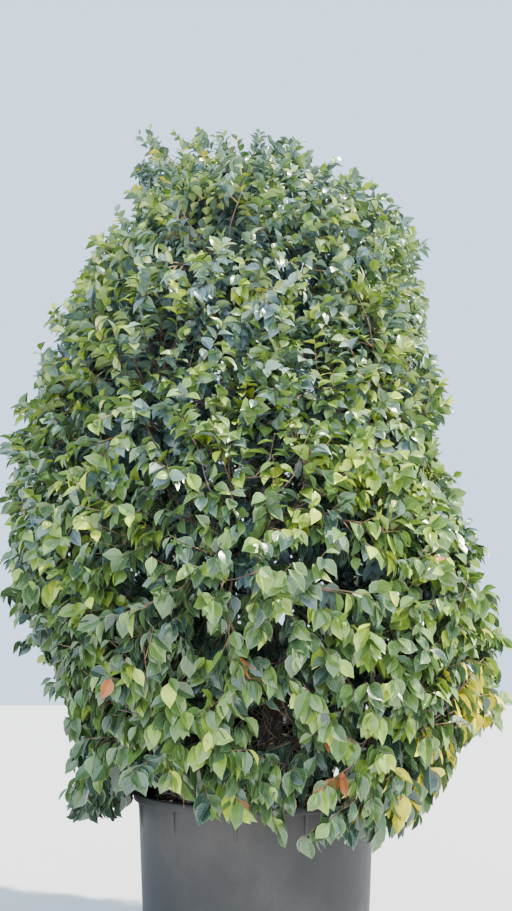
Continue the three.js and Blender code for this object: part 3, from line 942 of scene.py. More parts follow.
def place_sprays(mass, layer, ways, reach):
    """Where the sprays of a layer end: all over the outside of a mass, at a depth that dips and swells."""
    low, high = layer["shares"]
    surface = mass["heart"] + ways * reach[:, None]
    chance = DIP_CHANCE * rng.normal(size=len(ways))
    swell = 0.5 + 0.5 * np.clip(patchiness(surface, *DIP_PATCHES) + chance, -1, 1)
    patches = np.clip(0.5 + patchiness(surface, *RAGGED_PATCHES), 0, 1)
    ragged = ramped(surface[:, 2], *RAGGED_HEIGHTS) * patches
    deepest = reach if layer["name"] == "deep" else np.minimum(reach, DIP_REACH)
    recess = (1 - mix(low, high, swell)) * deepest
    tips = mass["heart"] + ways * (reach - recess - TOP_DIPS * ragged * reach)[:, None]
    inner = np.maximum(0, crown_depth(surface) - SIDE_DEPTH)
    spacing = layer["spacing"] * mix(1, TOP_SPACING_SHARE, ramped(tips[:, 2], *CROWN_LEVELS))
    chosen = spread_out(tips, spacing * (1 + SIDE_THINNING * np.minimum(inner, SIDE_DEEPEST)))
    return only({"tips": tips, "ways": ways, "reach": reach}, chosen)


def raise_leaders(mass, layer, sprays):
    """Leaders stand out of the crown, and higher up they point to the sky."""
    tips, ways = sprays["tips"], sprays["ways"]
    level = ramped(tips[:, 2], *CROWN_LEVELS)
    on_top = ramped(tips[:, 2:], *TOP_HEIGHTS)
    share = LEADER_SHARE * (LEADER_LOW + level + LEADER_TOP * on_top[:, 0])
    leader = (rng.random(len(tips)) < share) & (layer["name"] == "outer")
    rise = (LEADER_RISE * level[:, None] + SPIKE_RISE * rng.random((len(tips), 1)) * on_top) * UP
    rise = rise + rng.uniform(0.0, LEADER_PUSH, (len(tips), 1)) * ways
    raised = mass["heart"] + ways * sprays["reach"][:, None] + rise
    sprays.update(tips=np.where(leader[:, None], raised, tips), level=level, leader=leader)


def clear_of_risers(sprays, risers):
    """No sprays right in front of the risers' upper parts."""
    bare = curves(risers, RISER_STATIONS)[:, RISER_BARE_FROM:].reshape(-1, 3)
    between = sprays["tips"][:, None] - bare[None] - RISER_CLEARING_RISE * UP
    return only(sprays, np.linalg.norm(between, axis=2).min(axis=1) > RISER_CLEARING)


def grow_sprigs(sprays, bearers):
    """A finer twig to each spray, from the nearest place on a shoot."""
    tips, ways, level = sprays["tips"], sprays["ways"], sprays["level"]
    places = [at_curves(bearers, np.full(len(bearers), t)) for t in SPRAY_STATIONS]
    spots = np.stack(places, axis=1).reshape(-1, 3)
    inward = tips - SPRAY_INWARD * ways
    nearest = np.argmin(np.linalg.norm(inward[:, None] - spots[None], axis=2), axis=1)
    bearer, station = np.divmod(nearest, len(SPRAY_STATIONS))
    roots = spots[nearest]
    leave_ways = tangents_at(bearers[bearer], SPRAY_STATIONS[station])
    gap = np.linalg.norm(tips - roots, axis=1, keepdims=True)
    skyward = SKYWARD + SKYWARD_HIGH * np.clip(SKYWARD_PACE * level, 0, 1)
    skyward = skyward + SKYWARD_CHANCE * rng.normal(size=len(tips))
    skyward = skyward + SKYWARD_LEADER * level * sprays["leader"]
    arrive = unit(ways + np.clip(skyward, *SKYWARD_BOUNDS)[:, None] * UP)
    bends = mix(roots + SPRIG_START * gap * leave_ways, tips - SPRIG_END * gap * arrive, SPRIG_BEND)
    sprays.update(sprigs=np.stack([roots, bends, tips], axis=1), length=gap[:, 0])
    clear = clear_of_tub(curves(sprays["sprigs"], SPRIG_PLACES))
    sprays = only(sprays, clear & within_box(sprays["sprigs"]))
    add_shoots(sprig_pile, sprays["sprigs"], SPRIG_RADII, *SPRIG_MESH)
    return sprays


def gaining(pair, share):
    """What holds low down, and what is added by a share."""
    return pair[0] + pair[1] * share


def leaf_ways(borne, spray, order, tangent, spread):
    """The ways that leaves point and face: low down they hang, higher up they spread and face the sky."""
    total = len(spray)
    out = borne["ways"]
    side = unit(np.cross(tangent, unit(out + SIDE_TO_SKY * UP)) + SIDE_CHANCE * rng.normal(size=(total, 3)))
    rest = np.cross(side, tangent)
    twist = rng.uniform(-TURN_CHANCE, TURN_CHANCE, spray[-1] + 1)
    turn = np.pi * order + twist[spray] + TURN_CHANCE * rng.normal(size=total)
    aside = np.cos(turn)[:, None] * side + np.sin(turn)[:, None] * rest
    droop = rng.uniform(*LEAF_DROOP, (total, 1)) * (1 - DROOP_LOSS * spread)
    droop = droop - LEADER_DROOP_LOSS * borne["leader"][:, None]
    along = unit(gaining(LEAF_ONWARD, spread) * tangent + gaining(LEAF_ASIDE, spread) * aside
                 - droop * UP + LEAF_OUTWARD * out)
    face = unit(out + gaining(LEAF_TO_SKY, spread) * UP + FACE_CHANCE * rng.normal(size=(total, 3)))
    return along, face


def grow_leaves(mass, layer, sprays):
    """Leaves, alternate along the outer part of each spray's twig."""
    light = spray_tone_and_painted_light(sprays["tips"], sprays["ways"])
    number = rng.integers(*layer["leaves"], len(light), endpoint=True)
    spray = np.repeat(np.arange(len(number)), number)
    order = np.concatenate([np.arange(n) for n in number])
    total = len(spray)
    borne = only(sprays, spray)
    back = (order + LEAF_JITTER * rng.random(total)) / number[spray]
    leafy = np.minimum(MOST_LEAFY, layer["leafy"] / np.maximum(borne["length"], SHORTEST_SPRIG))
    t = 1 - leafy * back
    roots = at_curves(borne["sprigs"], t)
    spread = ramped(roots[:, 2:], *SPREAD_HEIGHTS)
    along, face = leaf_ways(borne, spray, order, tangents_at(borne["sprigs"], t), spread)
    young = np.where(order < YOUNG_LEAVES, rng.uniform(*YOUNG_LENGTH, total), 1.0)
    smaller = mix(1, TOP_LEAF_SHARE, ramped(roots[:, 2], *CROWN_LEVELS))
    length = rng.uniform(*LEAF_LENGTH, total) * young * smaller
    length *= DEEP_LEAF_SHARE if layer["name"] == "deep" else 1
    leaves = {
        "roots": roots,
        "along": along,
        "face": face,
        "length": length,
        "half": length * rng.uniform(*LEAF_WIDTH, total) / 2,
        "bend": rng.uniform(*LEAF_BEND, total) + SPREAD_BEND * spread[:, 0],
        "fold": rng.uniform(*LEAF_FOLD, total),
        "curl": rng.uniform(*LEAF_CURL, total),
        "kind": leaf_kinds(light[spray], order, roots),
        "margin": np.where(borne["leader"], LEADER_MARGIN, LEAF_MARGIN),
    }
    form = np.full(total, layer["name"])
    if layer["name"] == "outer":
        form = np.where(roots[:, 2] < FAR_HEIGHT, "near", "far")
    for name, template in LEAF_FORMS.items():
        if (form == name).any():
            add_leaves(mass, template, only(leaves, form == name))


def add_leaves(mass, template, leaves):
    """The leaves that keep to their mass's space, to the box and clear of the tub, sorted by kind."""
    blades = leaf_blades(template, leaves)
    middle_and_tip = [len(template[0]) // 4, -1]
    room = np.min(room_in(mass, blades[:, middle_and_tip]), axis=1)
    keep = (room > -leaves["margin"]) & clear_of_tub(blades) & within_box(blades)
    for index, name in enumerate(KINDS):
        chosen = keep & (leaves["kind"] == index)
        if chosen.any():
            leaf_piles[name].add(blades[chosen], template[2], template[3])


for mass in masses:
    grow_mass(mass)


def grow_tangle():
    """Dead twigs that loop round the trunk, where the leaves leave a gap."""
    each = (TANGLE_COUNT, 1)
    z = rng.uniform(*TANGLE_HEIGHTS, TANGLE_COUNT)
    bearing = rng.uniform(-np.pi, 0.0, TANGLE_COUNT)
    out = np.column_stack([np.cos(bearing), np.sin(bearing), np.zeros(TANGLE_COUNT)])
    reach = rng.uniform(*TANGLE_REACH, each)
    roots = trunk_at(z) + TANGLE_ROOT * trunk_radius(z)[:, None] * out
    across = np.cross(out, UP) * rng.uniform(-1, 1, each)
    middle = roots + reach * (out + TANGLE_ASIDE * across + rng.uniform(*TANGLE_RISE, each) * UP)
    onward = TANGLE_CREST_OUT * out - across - rng.uniform(*TANGLE_FALL, each) * UP
    crest = middle + TANGLE_CREST * reach * onward
    end = crest + TANGLE_END * reach * (across - TANGLE_END_FALL * UP)
    joint = mix(middle, crest, 0.5)
    first = np.stack([roots, middle, joint], axis=1)
    second = np.stack([joint, crest, end], axis=1)
    half = mix(*TANGLE_RADII, 0.5)
    for share, chosen in [(1.0, slice(THICK_LOOPS, None)), (THICK_SHARE, slice(0, THICK_LOOPS))]:
        thick, thin = share * TANGLE_RADII[0], share * TANGLE_RADII[1]
        add_shoots(tangle_pile, first[chosen], (thick, share * half), *TANGLE_MESH)
        add_shoots(tangle_pile, second[chosen], (share * half, thin), *TANGLE_MESH)


grow_tangle()


# Materials

def scaled(colour, factor):
    return tuple(min(1.0, channel * factor) for channel in colour)


class Shading:
    """A node material, built up by calls that each give back the output of a new node."""

    def __init__(self, name):
        self.material = bpy.data.materials.new(name)
        self.material.use_nodes = True
        self.tree = self.material.node_tree

    def feed(self, socket, value):
        """Links another node's output to a socket, or sets the socket's own value."""
        if isinstance(value, bpy.types.NodeSocket):
            self.tree.links.new(value, socket)
        else:
            socket.default_value = value

    def node(self, kind, output, inputs=(), **settings):
        node = self.tree.nodes.new(kind)
        for key, value in settings.items():
            setattr(node, key, value)
        for key, value in dict(inputs).items():
            self.feed(node.inputs[key], value)
        return node.outputs[output]

    def place(self):
        return self.node("ShaderNodeTexCoord", "Object")

    def part(self, vector, axis):
        return self.node("ShaderNodeSeparateXYZ", axis, {0: vector})

    def math(self, operation, *values):
        return self.node("ShaderNodeMath", 0, enumerate(values), operation=operation)

    def stretched(self, place, scale, turn=(0, 0, 0)):
        return self.node("ShaderNodeMapping", "Vector", {"Vector": place, "Scale": scale, "Rotation": turn})

    def noise(self, place, scale, detail, roughness=0.5):
        inputs = {"Vector": place, "Scale": scale, "Detail": detail, "Roughness": roughness}
        return self.node("ShaderNodeTexNoise", "Fac", inputs)

    def span(self, value, start, end, low=0.0, high=1.0):
        """Low at a start and high at an end, straight between and level beyond."""
        inputs = {"Value": value, "From Min": start, "From Max": end, "To Min": low, "To Max": high}
        return self.node("ShaderNodeMapRange", "Result", inputs)

    def ramp(self, value, stops):
        colour = self.node("ShaderNodeValToRGB", "Color", {"Fac": value})
        elements = colour.node.color_ramp.elements
        while len(elements) < len(stops):
            elements.new(0.5)
        for element, (place, shade) in zip(elements, stops):
            element.position = place
            element.color = (*shade, 1)
        return colour

    def blend(self, share, a, b, way="MIX"):
        return self.node("ShaderNodeMix", 2, {0: share, 6: a, 7: b}, data_type="RGBA", blend_type=way)

    def bump(self, height, strength, distance):
        inputs = {"Height": height, "Strength": strength, "Distance": distance}
        return self.node("ShaderNodeBump", "Normal", inputs)

    def finished(self, colour, roughness, relief=None, specular=None):
        """The material, with its shader's sockets fed."""
        names = ["Base Color", "Roughness", "Normal", "Specular IOR Level"]
        for name, value in zip(names, (colour, roughness, relief, specular)):
            if value is not None:
                self.feed(self.tree.nodes["Principled BSDF"].inputs[name], value)
        return self.material


SKYLIT_KINDS = ["olive", "slate", "haze", "pale"]
VEIN_COLOUR = (0.42, 0.48, 0.20)

# Marks on a leaf, in leaf coordinates: the midrib's half width, where the edge grows
# pale, and how the side veins slant and follow each other
MIDRIB_WIDTH = 0.035
EDGE_SPAN = (0.43, 0.50)
VEIN_SLANT = -0.7
VEIN_PACE = 52.0


def leaf_material(kind):
    shading = Shading(f"leaf {kind}")
    colour, rough = LEAF_LOOKS[kind]
    uv = shading.node("ShaderNodeUVMap", "UV", uv_map="leaf")
    aside = shading.math("ABSOLUTE", shading.math("SUBTRACT", shading.part(uv, "X"), 0.5))

    # A pale midrib and edge, and side veins that run forward from the midrib
    rib = shading.span(aside, MIDRIB_WIDTH, 0.0)
    edge = shading.span(aside, *EDGE_SPAN, high=0.75)
    slant = shading.math("MULTIPLY_ADD", aside, VEIN_SLANT, shading.part(uv, "Y"))
    vein = shading.math("SINE", shading.math("MULTIPLY", slant, VEIN_PACE))
    paler = shading.math("ADD", edge, shading.span(vein, 0.55, 1.0, high=0.24))
    pale = (*mix(np.array(colour), np.array(VEIN_COLOUR), 0.6), 1)

    # Patches of lighter and darker green, a few centimetres across
    patch = shading.noise(shading.place(), 26.0, 3.0)
    body = shading.ramp(patch, [(0.30, scaled(colour, 0.74)), (0.70, scaled(colour, 1.26))])
    return shading.finished(
        colour=shading.blend(shading.math("MULTIPLY_ADD", rib, 0.40, paler), body, pale),
        roughness=shading.span(patch, 0.35, 0.65, rough, rough + 0.12),
        relief=shading.bump(shading.math("MULTIPLY_ADD", vein, 0.25, rib), 0.35, 0.0006),
        specular=0.85 if kind in SKYLIT_KINDS else 0.65,
    )


def bark_material(name, dark, light, scale, stretch):
    shading = Shading(name)
    grain = shading.noise(shading.stretched(shading.place(), (1, 1, stretch)), scale, 6.0, 0.65)
    return shading.finished(
        colour=shading.ramp(grain, [(0.30, dark), (0.62, light), (0.80, scaled(light, 1.35))]),
        roughness=0.85,
        relief=shading.bump(grain, 0.6, 0.002),
    )


bark = bark_material("bark", (0.040, 0.032, 0.027), (0.125, 0.10, 0.082), 70.0, 0.22)
twig_bark = bark_material("twig bark", (0.070, 0.040, 0.030), (0.17, 0.105, 0.078), 160.0, 0.3)
sprig_bark = bark_material("sprig bark", (0.15, 0.080, 0.042), (0.31, 0.18, 0.095), 220.0, 0.4)
dead_bark = bark_material("dead bark", (0.14, 0.105, 0.085), (0.42, 0.33, 0.27), 180.0, 0.4)


def settle(pieces, nodes):
    """What each piece rides on, which nodes it replaces."""
    for piece in pieces:
        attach(piece, "root")
        if nodes:
            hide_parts(*nodes)


foliage_nodes = [f"foliage_{mass['name']}" for mass in masses]
bough_nodes = [f"bough_{mass['name']}" for mass in masses if mass["name"] != "top"]

for kind in KINDS:
    settle(leaf_piles[kind].pieces(f"leaves_{kind}", leaf_material(kind)), foliage_nodes)
settle(twig_pile.pieces("twigs", twig_bark), foliage_nodes)
settle(sprig_pile.pieces("sprigs", sprig_bark), foliage_nodes)
settle(tangle_pile.pieces("dead_twigs", dead_bark), foliage_nodes)


# Trunk and boughs

TRUNK_SIDES = 44
TRUNK_STATIONS = 260
TRUNK_SINK = 0.004
TRUNK_FURROWS = 0.0016
TRUNK_GRAIN = 16.0
TRUNK_GRAIN_SEED = 3
LOBE_COUNT = 5
LOBE_TURN = 0.6
LOBE_HEIGHT = 0.10
LOBE_SHARE = 0.22
LOBE_PUSH = 0.55
BOUGH_SIDES = 12
BOUGH_STATIONS = 40
BOUGH_FURROWS = 0.06
BOUGH_GRAIN = 26.0

limb_pile = Pile()


def trunk_line():
    """The trunk's middle line, smooth through its places."""
    z = np.linspace(SOIL_TOP - TRUNK_SINK, TRUNK_LINE[-1, 2], TRUNK_STATIONS)
    slopes = np.gradient(TRUNK_LINE[:, :2], TRUNK_LINE[:, 2], axis=0)
    index = np.clip(np.searchsorted(TRUNK_LINE[:, 2], z) - 1, 0, len(TRUNK_LINE) - 2)
    low, high = TRUNK_LINE[index], TRUNK_LINE[index + 1]
    span = (high[:, 2] - low[:, 2])[:, None]
    t = ((z - low[:, 2]) / span[:, 0])[:, None]
    place = ((2 * t ** 3 - 3 * t ** 2 + 1) * low[:, :2] + (t ** 3 - 2 * t ** 2 + t) * span * slopes[index]
             + (3 * t ** 2 - 2 * t ** 3) * high[:, :2] + (t ** 3 - t ** 2) * span * slopes[index + 1])
    return np.column_stack([place, z])


def furrows(turn, along, scale, seed):
    """Relief of bark: long furrows that wander a little round the limb."""
    value = np.zeros(np.broadcast(turn, along).shape)
    phases = np.random.default_rng(seed)
    for octave in range(4):
        first, second, third = phases.uniform(0, 6.3, 3)
        wander = 2.2 * np.sin(along * scale * (1 + octave) + second)
        ridges = np.sin((5 + 6 * octave) * turn + first + wander)
        value += ridges * np.sin(along * scale * (1.7 + 1.3 * octave) + third) / (1 + 0.6 * octave)
    return value


def grow_trunk():
    line = trunk_line()
    height = line[:, 2:]
    radius = trunk_radius(height)
    turn = ring_turns(TRUNK_SIDES)[None]
    fading = np.exp(-(height - SOIL_TOP) / LOBE_HEIGHT)
    lobes = LOBE_SHARE * fading * np.cos(LOBE_COUNT * turn + LOBE_TURN)
    grooves = furrows(turn, height, TRUNK_GRAIN, TRUNK_GRAIN_SEED)
    relief = lobes * radius * LOBE_PUSH + TRUNK_FURROWS * grooves
    add_tubes(limb_pile, line[None], radius.T, TRUNK_SIDES, relief)


def grow_bough(mass):
    """A bough and, past its end, the stem inside its mass, which goes on along the same curve."""
    line = curves(bough_line(mass)[None], BOUGH_STATIONS)
    t = np.linspace(0, 1, BOUGH_STATIONS)
    away = line[0, :, :2] - trunk_at(line[0, :, 2])[:, :2]
    end, girth = 0.0, TRUNK_TIP_RADIUS / STEM_SHARE
    if mass["name"] != "top":
        end = t[np.argmax(np.hypot(*away.T) > SHAFT_RADIUS - 2 * BOUGH_RADIUS)]
        girth = bough_girth(mass)
    along = t / max(end, 1e-6)
    collar = 1 + BOUGH_COLLAR * np.maximum(0, 1 - along / COLLAR_LENGTH) ** 2
    bough = girth * mix(1, STEM_SHARE, along) * collar
    stem = STEM_SHARE * girth * mix(1, STEM_END_SHARE, (t - end) / (1 - end))
    radius = np.where(t < end, bough, stem)
    grooves = furrows(ring_turns(BOUGH_SIDES)[None], t[:, None], BOUGH_GRAIN, mass["seed"])
    add_tubes(limb_pile, line, radius[None], BOUGH_SIDES, BOUGH_FURROWS * radius[:, None] * grooves)


grow_trunk()
for mass in masses:
    grow_bough(mass)
settle(limb_pile.pieces("trunk_and_boughs", bark), ["trunk", *bough_nodes])


# The tub

LIP_FOOT = POT_HEIGHT - LIP_HEIGHT
TUB_SIDES = 160
TUB_ROUNDING = [0.012, 0.004, 0.005, 0.011, 0.008, 0.010]
ARC_POINTS = 5
SHARP_ANGLE = math.radians(35)

# Rings of the wall outside and inside: the first height, the last and how many
OUTER_RINGS = (0.05, LIP_FOOT - 0.006, 12)
INNER_RINGS = (POT_HEIGHT - 0.1, WALL + 0.02, 5)

# Half of a rib's section: aside as a share of its width, outward as a share of its reach
RIB_SECTION = [(1, 0.0), (1, 0.72), (0.6, 0.93)]
RIB_OVERLAP = 0.004
RIB_FOOT_REACH = 0.002

# Colours of the tub, by share: its plastic under dust, streaks, grains and scuffs
CLOUD_STOPS = [(0.30, (0.014, 0.014, 0.017)), (0.50, (0.021, 0.020, 0.021)), (0.68, (0.043, 0.037, 0.035))]
STREAK_STOPS = [(0.38, (0.92, 0.92, 0.93)), (0.56, (1.0, 1.0, 1.0)), (0.78, (1.12, 1.10, 1.07))]
GRAIN_STOPS = [(0.34, (0.80, 0.80, 0.82)), (0.50, (1.0, 1.0, 1.0)), (0.66, (1.26, 1.24, 1.20))]
SCUFF_STOPS = [(0.66, (0, 0, 0)), (0.74, (1, 1, 1))]
SCUFF_COLOUR = (0.30, 0.29, 0.28, 1)
DUST_COLOUR = (0.150, 0.140, 0.130, 1)
MUD_COLOUR = (0.20, 0.165, 0.125, 1)


def wall_at(z):
    """The outer radius of the tub's wall."""
    return RIM_RADIUS - LIP_REACH - (LIP_FOOT - z) * math.tan(TAPER)


def rounded(corner, before, after, radius):
    """A profile's corner as an arc."""
    corner, before, after = (np.array(p, float) for p in (corner, before, after))
    start = corner + unit(before - corner) * radius
    end = corner + unit(after - corner) * radius
    arc = bezier(np.array([start, corner, end]), np.linspace(0, 1, ARC_POINTS)[:, None])
    return [tuple(p) for p in arc]


def lathe(profile, sides):
    """Vertices and faces of a profile turned round the Z axis. The profile's two ends lie on the axis."""
    vertices, faces, rows = [], [], []
    for radius, z in profile:
        if radius < 1e-6:
            rows.append([len(vertices)] * sides)
            vertices.append((0, 0, z))
        else:
            rows.append(list(range(len(vertices), len(vertices) + sides)))
            vertices += [(radius * math.cos(a), radius * math.sin(a), z) for a in ring_turns(sides)]
    for low, high in zip(rows, rows[1:]):
        for k in range(sides):
            following = (k + 1) % sides
            corners = [low[k], low[following], high[following], high[k]]
            faces.append([c for i, c in enumerate(corners) if c not in corners[:i]])
    return vertices, faces


def tub_material():
    shading = Shading("tub plastic")
    place = shading.place()

    # Dust in soft clouds, streaks that run down the wall, grains and fine scuffs
    cloud = shading.noise(place, 2.6, 7.0, 0.55)
    streak = shading.noise(shading.stretched(place, (1, 1, 0.06)), 24.0, 4.0, 0.6)
    scuff_place = shading.stretched(place, (1, 1, 9), (0.2, 0.1, 0.4))
    grain = shading.noise(scuff_place, 150.0, 3.0, 0.7)
    scuff = shading.noise(scuff_place, 16.0, 8.0, 0.75)
    colour = shading.ramp(cloud, CLOUD_STOPS)
    colour = shading.blend(1.0, colour, shading.ramp(streak, STREAK_STOPS), "MULTIPLY")
    colour = shading.blend(1.0, colour, shading.ramp(grain, GRAIN_STOPS), "MULTIPLY")
    scuffed = shading.math("MULTIPLY", shading.ramp(scuff, SCUFF_STOPS), 0.45)
    colour = shading.blend(scuffed, colour, SCUFF_COLOUR)

    # Dust that settles on what faces up, such as the lip, and splashed soil near the foot
    upward = shading.part(shading.node("ShaderNodeNewGeometry", "Normal"), "Z")
    colour = shading.blend(shading.span(upward, 0.15, 0.85, high=0.55), colour, DUST_COLOUR)
    near_foot = shading.span(shading.part(place, "Z"), 0.16, 0.0)
    colour = shading.blend(shading.math("MULTIPLY", near_foot, cloud), colour, MUD_COLOUR)
    return shading.finished(
        colour=colour,
        roughness=shading.span(scuff, 0.0, 1.0, 0.48, 0.72),
        relief=shading.bump(scuff, 0.25, 0.0015),
    )


def tub_profile():
    """The tub's section, from the middle of its underside round its wall to the middle of its floor."""
    corners = [(0, 0), (wall_at(0), 0), (wall_at(LIP_FOOT), LIP_FOOT), (RIM_RADIUS, LIP_FOOT),
               (RIM_RADIUS, POT_HEIGHT), (wall_at(POT_HEIGHT) - WALL, POT_HEIGHT),
               (wall_at(WALL) - WALL, WALL), (0, WALL)]
    outside = [(wall_at(z), z) for z in np.linspace(*OUTER_RINGS)]
    inside = [(wall_at(z) - WALL, z) for z in np.linspace(*INNER_RINGS)]
    onward = [outside, [], [], [], inside, []]
    points = corners[:1]
    for i, radius in enumerate(TUB_ROUNDING):
        points += rounded(corners[i + 1], corners[i], corners[i + 2], radius) + onward[i]
    return [*points, corners[-1]]


def drain_plug(i, material):
    """A plug that cuts a drain hole through the floor."""
    bearing = 2 * math.pi * i / DRAIN_COUNT
    east, north = DRAIN_RING * math.cos(bearing), DRAIN_RING * math.sin(bearing)
    section = [(0, -2 * WALL), (DRAIN_RADIUS, -2 * WALL), (DRAIN_RADIUS, 2 * WALL), (0, 2 * WALL)]
    vertices, faces = lathe(section, 24)
    moved = [(x + east, y + north, z) for x, y, z in vertices]
    return object_from(f"drain_{i + 1}", moved, faces, material)


def rib_under_lip(i, material):
    """A slim rib under the lip, with a rounded nose."""
    bearing = RIB_FIRST + 2 * math.pi * i / RIB_COUNT
    half = RIB_WIDTH / 2
    section = [(-side * half, share) for side, share in RIB_SECTION]
    section += [(0, 1.0)] + [(side * half, share) for side, share in RIB_SECTION[::-1]]
    foot = LIP_FOOT - RIB_HEIGHT
    inner = wall_at(foot) - WALL / 2
    ends = [(foot, wall_at(foot) + RIB_FOOT_REACH), (LIP_FOOT + RIB_OVERLAP, wall_at(LIP_FOOT) + RIB_REACH)]
    vertices = []
    for z, nose in ends:
        for y, share in section:
            x = mix(inner, nose, share)
            vertices.append((x * math.cos(bearing) - y * math.sin(bearing),
                             x * math.sin(bearing) + y * math.cos(bearing), z))
    count = len(section)
    faces = [list(range(count))[::-1], list(range(count, 2 * count))]
    for k in range(count):
        following = (k + 1) % count
        faces.append([k, following, count + following, count + k])
    return object_from(f"rib_{i + 1}", vertices, faces, material)


def make_tub():
    material = tub_material()
    tub = object_from("tub", *lathe(tub_profile(), TUB_SIDES), material)
    plugs = [drain_plug(i, material) for i in range(DRAIN_COUNT)]
    ribs = [rib_under_lip(i, material) for i in range(RIB_COUNT)]
    for tool in plugs + ribs:
        join = tub.modifiers.new("join", "BOOLEAN")
        join.operation = "UNION" if tool in ribs else "DIFFERENCE"
        join.object = tool
        join.solver = "EXACT"
    bpy.context.view_layer.update()
    evaluated = tub.evaluated_get(bpy.context.evaluated_depsgraph_get())
    whole = bpy.data.meshes.new_from_object(evaluated)
    tub.modifiers.clear()
    tub.data = whole
    for tool in plugs + ribs:
        bpy.data.objects.remove(tool)
    for polygon in whole.polygons:
        polygon.use_smooth = True
    whole.set_sharp_from_angle(angle=SHARP_ANGLE)
    return tub


settle([make_tub()], ["pot"])


# Soil

SOIL_EDGE = SOIL_TOP - SOIL_HEAP
SOIL_SIDES = 120
SOIL_RINGS = 60
SOIL_GAP = 0.0004
SOIL_FOOT_GAP = 0.0104
SOIL_SINK = 0.003
SOIL_LUMPS = [(0.006, 28, 3.1), (0.003, 90, 7.7)]
SOIL_STOPS = [(0.32, (0.018, 0.012, 0.008)), (0.55, (0.060, 0.040, 0.026)), (0.75, (0.14, 0.10, 0.07))]


def soil_height(radius):
    places = [0, HEAP_FLAT_RADIUS, wall_at(SOIL_EDGE) - WALL]
    return np.interp(radius, places, [SOIL_TOP, SOIL_TOP, SOIL_EDGE])


def soil_material():
    shading = Shading("soil")
    crumbs = shading.noise(shading.place(), 90.0, 8.0, 0.7)
    return shading.finished(
        colour=shading.ramp(crumbs, SOIL_STOPS),
        roughness=0.95,
        relief=shading.bump(crumbs, 0.9, 0.006),
    )


def make_soil():
    """A closed plug of soil with a lumpy top."""
    radius = wall_at(SOIL_EDGE) - WALL - SOIL_GAP
    foot = wall_at(soil_low.z) - WALL - SOIL_FOOT_GAP
    profile = [(0, soil_low.z), (foot, soil_low.z), (radius, SOIL_EDGE)]
    profile += [(r, float(soil_height(r))) for r in np.linspace(radius, 0, SOIL_RINGS)[1:]]
    vertices, faces = lathe(profile, SOIL_SIDES)
    lumpy = []
    for x, y, z in vertices:
        if z >= SOIL_EDGE - 1e-6 and math.hypot(x, y) < radius - 1e-4:
            lumps = sum(much * noise.noise((x * fine, y * fine, seed)) for much, fine, seed in SOIL_LUMPS)
            z += lumps - SOIL_SINK
        lumpy.append((x, y, z))
    return object_from("soil_plug", lumpy, faces, soil_material())


settle([make_soil()], ["soil"])


# Kinds of bark chips: colour, how many
CHIPS = {
    "dark": ((0.080, 0.042, 0.024), 320),
    "brown": ((0.26, 0.130, 0.075), 420),
    # The pale chips are pale of their own, but their colour is raised near white as painted sunlight on them
    "pale": ((0.95, 0.80, 0.70), 640),
}
CHIP_OUTLINE = [(-1, -0.5), (-0.35, -1), (0.7, -0.85), (1, 0.1), (0.45, 0.95), (-0.75, 0.8)]
CHIP_HALF_SIZES = [(0.009, 0.026), (0.005, 0.012), (0.0012, 0.003)]
CHIP_WALL_GAP = 0.02
CHIP_TRUNK_GAP = 0.075
CHIP_LEVELS = (-0.001, 0.006)
CHIP_SLOPE = 0.22
CHIP_TILT = 0.30
CHIP_RAGGED = 0.25
CHIP_SEED = 40


def chip_faces():
    """Triangles between a lower and an upper outline, fanned over both and round their sides."""
    sides = len(CHIP_OUTLINE)
    faces = [(0, k + 1, k) for k in range(1, sides - 1)]
    faces += [(sides, sides + k, sides + k + 1) for k in range(1, sides - 1)]
    for k in range(sides):
        following = (k + 1) % sides
        faces += [(k, following, sides + following), (k, sides + following, sides + k)]
    return np.array(faces)


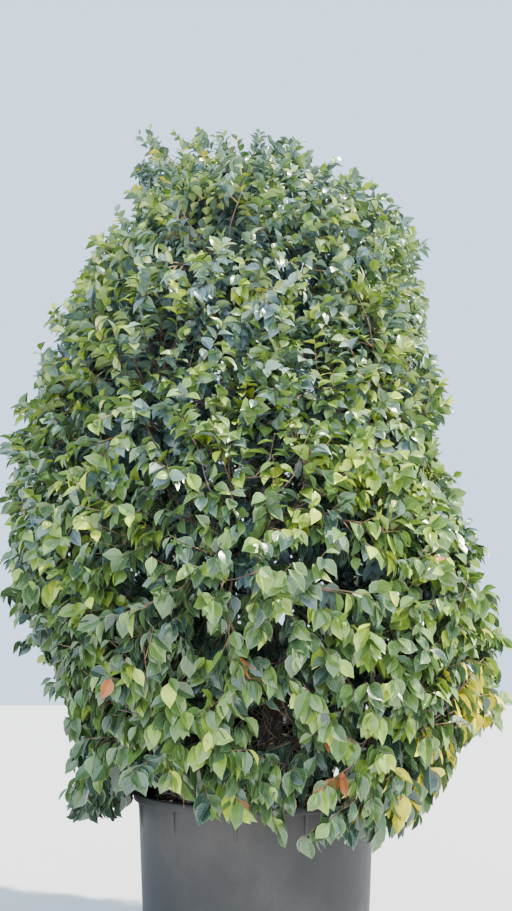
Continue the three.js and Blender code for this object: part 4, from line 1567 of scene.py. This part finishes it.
def make_chips(kind, colour, count, seed):
    """Flat, broken chips of bark, strewn over the soil."""
    draw = np.random.default_rng(seed)
    radius = (wall_at(SOIL_TOP) - WALL - CHIP_WALL_GAP) * np.sqrt(draw.random(count))
    bearing = draw.uniform(0, 2 * np.pi, count)
    spot = np.column_stack([radius * np.cos(bearing), radius * np.sin(bearing), soil_height(radius)])
    spot = spot[np.hypot(spot[:, 0] - TRUNK_LINE[0, 0], spot[:, 1] - TRUNK_LINE[0, 1]) > CHIP_TRUNK_GAP]
    count = len(spot)
    spot[:, 2] += draw.uniform(*CHIP_LEVELS, count)
    turn = draw.uniform(0, 2 * np.pi, count)
    along = unit(np.column_stack([np.cos(turn), np.sin(turn), draw.normal(0, CHIP_SLOPE, count)]))
    normal = unit(UP + CHIP_TILT * draw.normal(size=(count, 3)))
    across = unit(np.cross(normal, along))
    normal = np.cross(along, across)
    size = np.column_stack([draw.uniform(*half, count) for half in CHIP_HALF_SIZES])
    corners = []
    for level in (-1, 1):
        for x, y in CHIP_OUTLINE:
            wobble = 1 + CHIP_RAGGED * draw.normal(size=(count, 1))
            corners.append(spot + wobble * (x * size[:, :1] * along + y * size[:, 1:2] * across)
                           + level * size[:, 2:] * normal)
    pile = Pile()
    pile.add(np.stack(corners, axis=1), chip_faces())
    material = bark_material(f"chip {kind}", scaled(colour, 0.5), colour, 120.0, 1.0)
    settle(pile.pieces(f"bark_chips_{kind}", material, smooth=False), [])


for i, (kind, (colour, count)) in enumerate(CHIPS.items()):
    make_chips(kind, colour, count, CHIP_SEED + i)


# Camera, floor and light

PHOTO_LONG_SIDE = 911
FOCAL_PIXELS = 663
SENSOR = 36.0
EYE = (0.0, -3.35, 1.27)
PITCH = math.radians(19.5)
VIEW_END = 200
FLOOR_REACH = 60
FLOOR_COLOUR = (0.62, 0.61, 0.59, 1)
SKY_COLOUR = (0.60, 0.78, 1.0, 1)
SKY_STRENGTH = 2.1

# Suns: bearing from +X and height above the horizon in degrees, strength, width, colour
SUNS = {
    "key": (-24, 52, 13.0, 2.0, (1.0, 0.95, 0.82)),
    "fill": (-98, 18, 1.5, 50, (0.70, 0.84, 1.0)),
}

camera_data = bpy.data.cameras.new("camera")
camera_data.sensor_width = SENSOR
camera_data.lens = FOCAL_PIXELS / PHOTO_LONG_SIDE * SENSOR
camera_data.clip_end = VIEW_END
camera = in_scene("camera", camera_data)
camera.location = EYE
camera.rotation_euler = (math.pi / 2 + PITCH, 0, 0)
bpy.context.scene.camera = camera

floor_corners = [(x * FLOOR_REACH, y * FLOOR_REACH, 0) for x, y in [(-1, -1), (1, -1), (1, 1), (-1, 1)]]
floor_material = Shading("floor").finished(colour=FLOOR_COLOUR, roughness=0.9)
floor = object_from("floor", floor_corners, [(0, 1, 2, 3)], floor_material, smooth=False)

world = bpy.data.worlds.new("studio")
world.use_nodes = True
background = world.node_tree.nodes["Background"]
background.inputs["Color"].default_value = SKY_COLOUR
background.inputs["Strength"].default_value = SKY_STRENGTH
bpy.context.scene.world = world

for name, (bearing, height, strength, width, colour) in SUNS.items():
    light = bpy.data.lights.new(name, "SUN")
    light.energy = strength
    light.angle = math.radians(width)
    light.color = colour
    in_scene(name, light).rotation_euler = (0, math.radians(90 - height), math.radians(bearing))

bpy.context.view_layer.update()
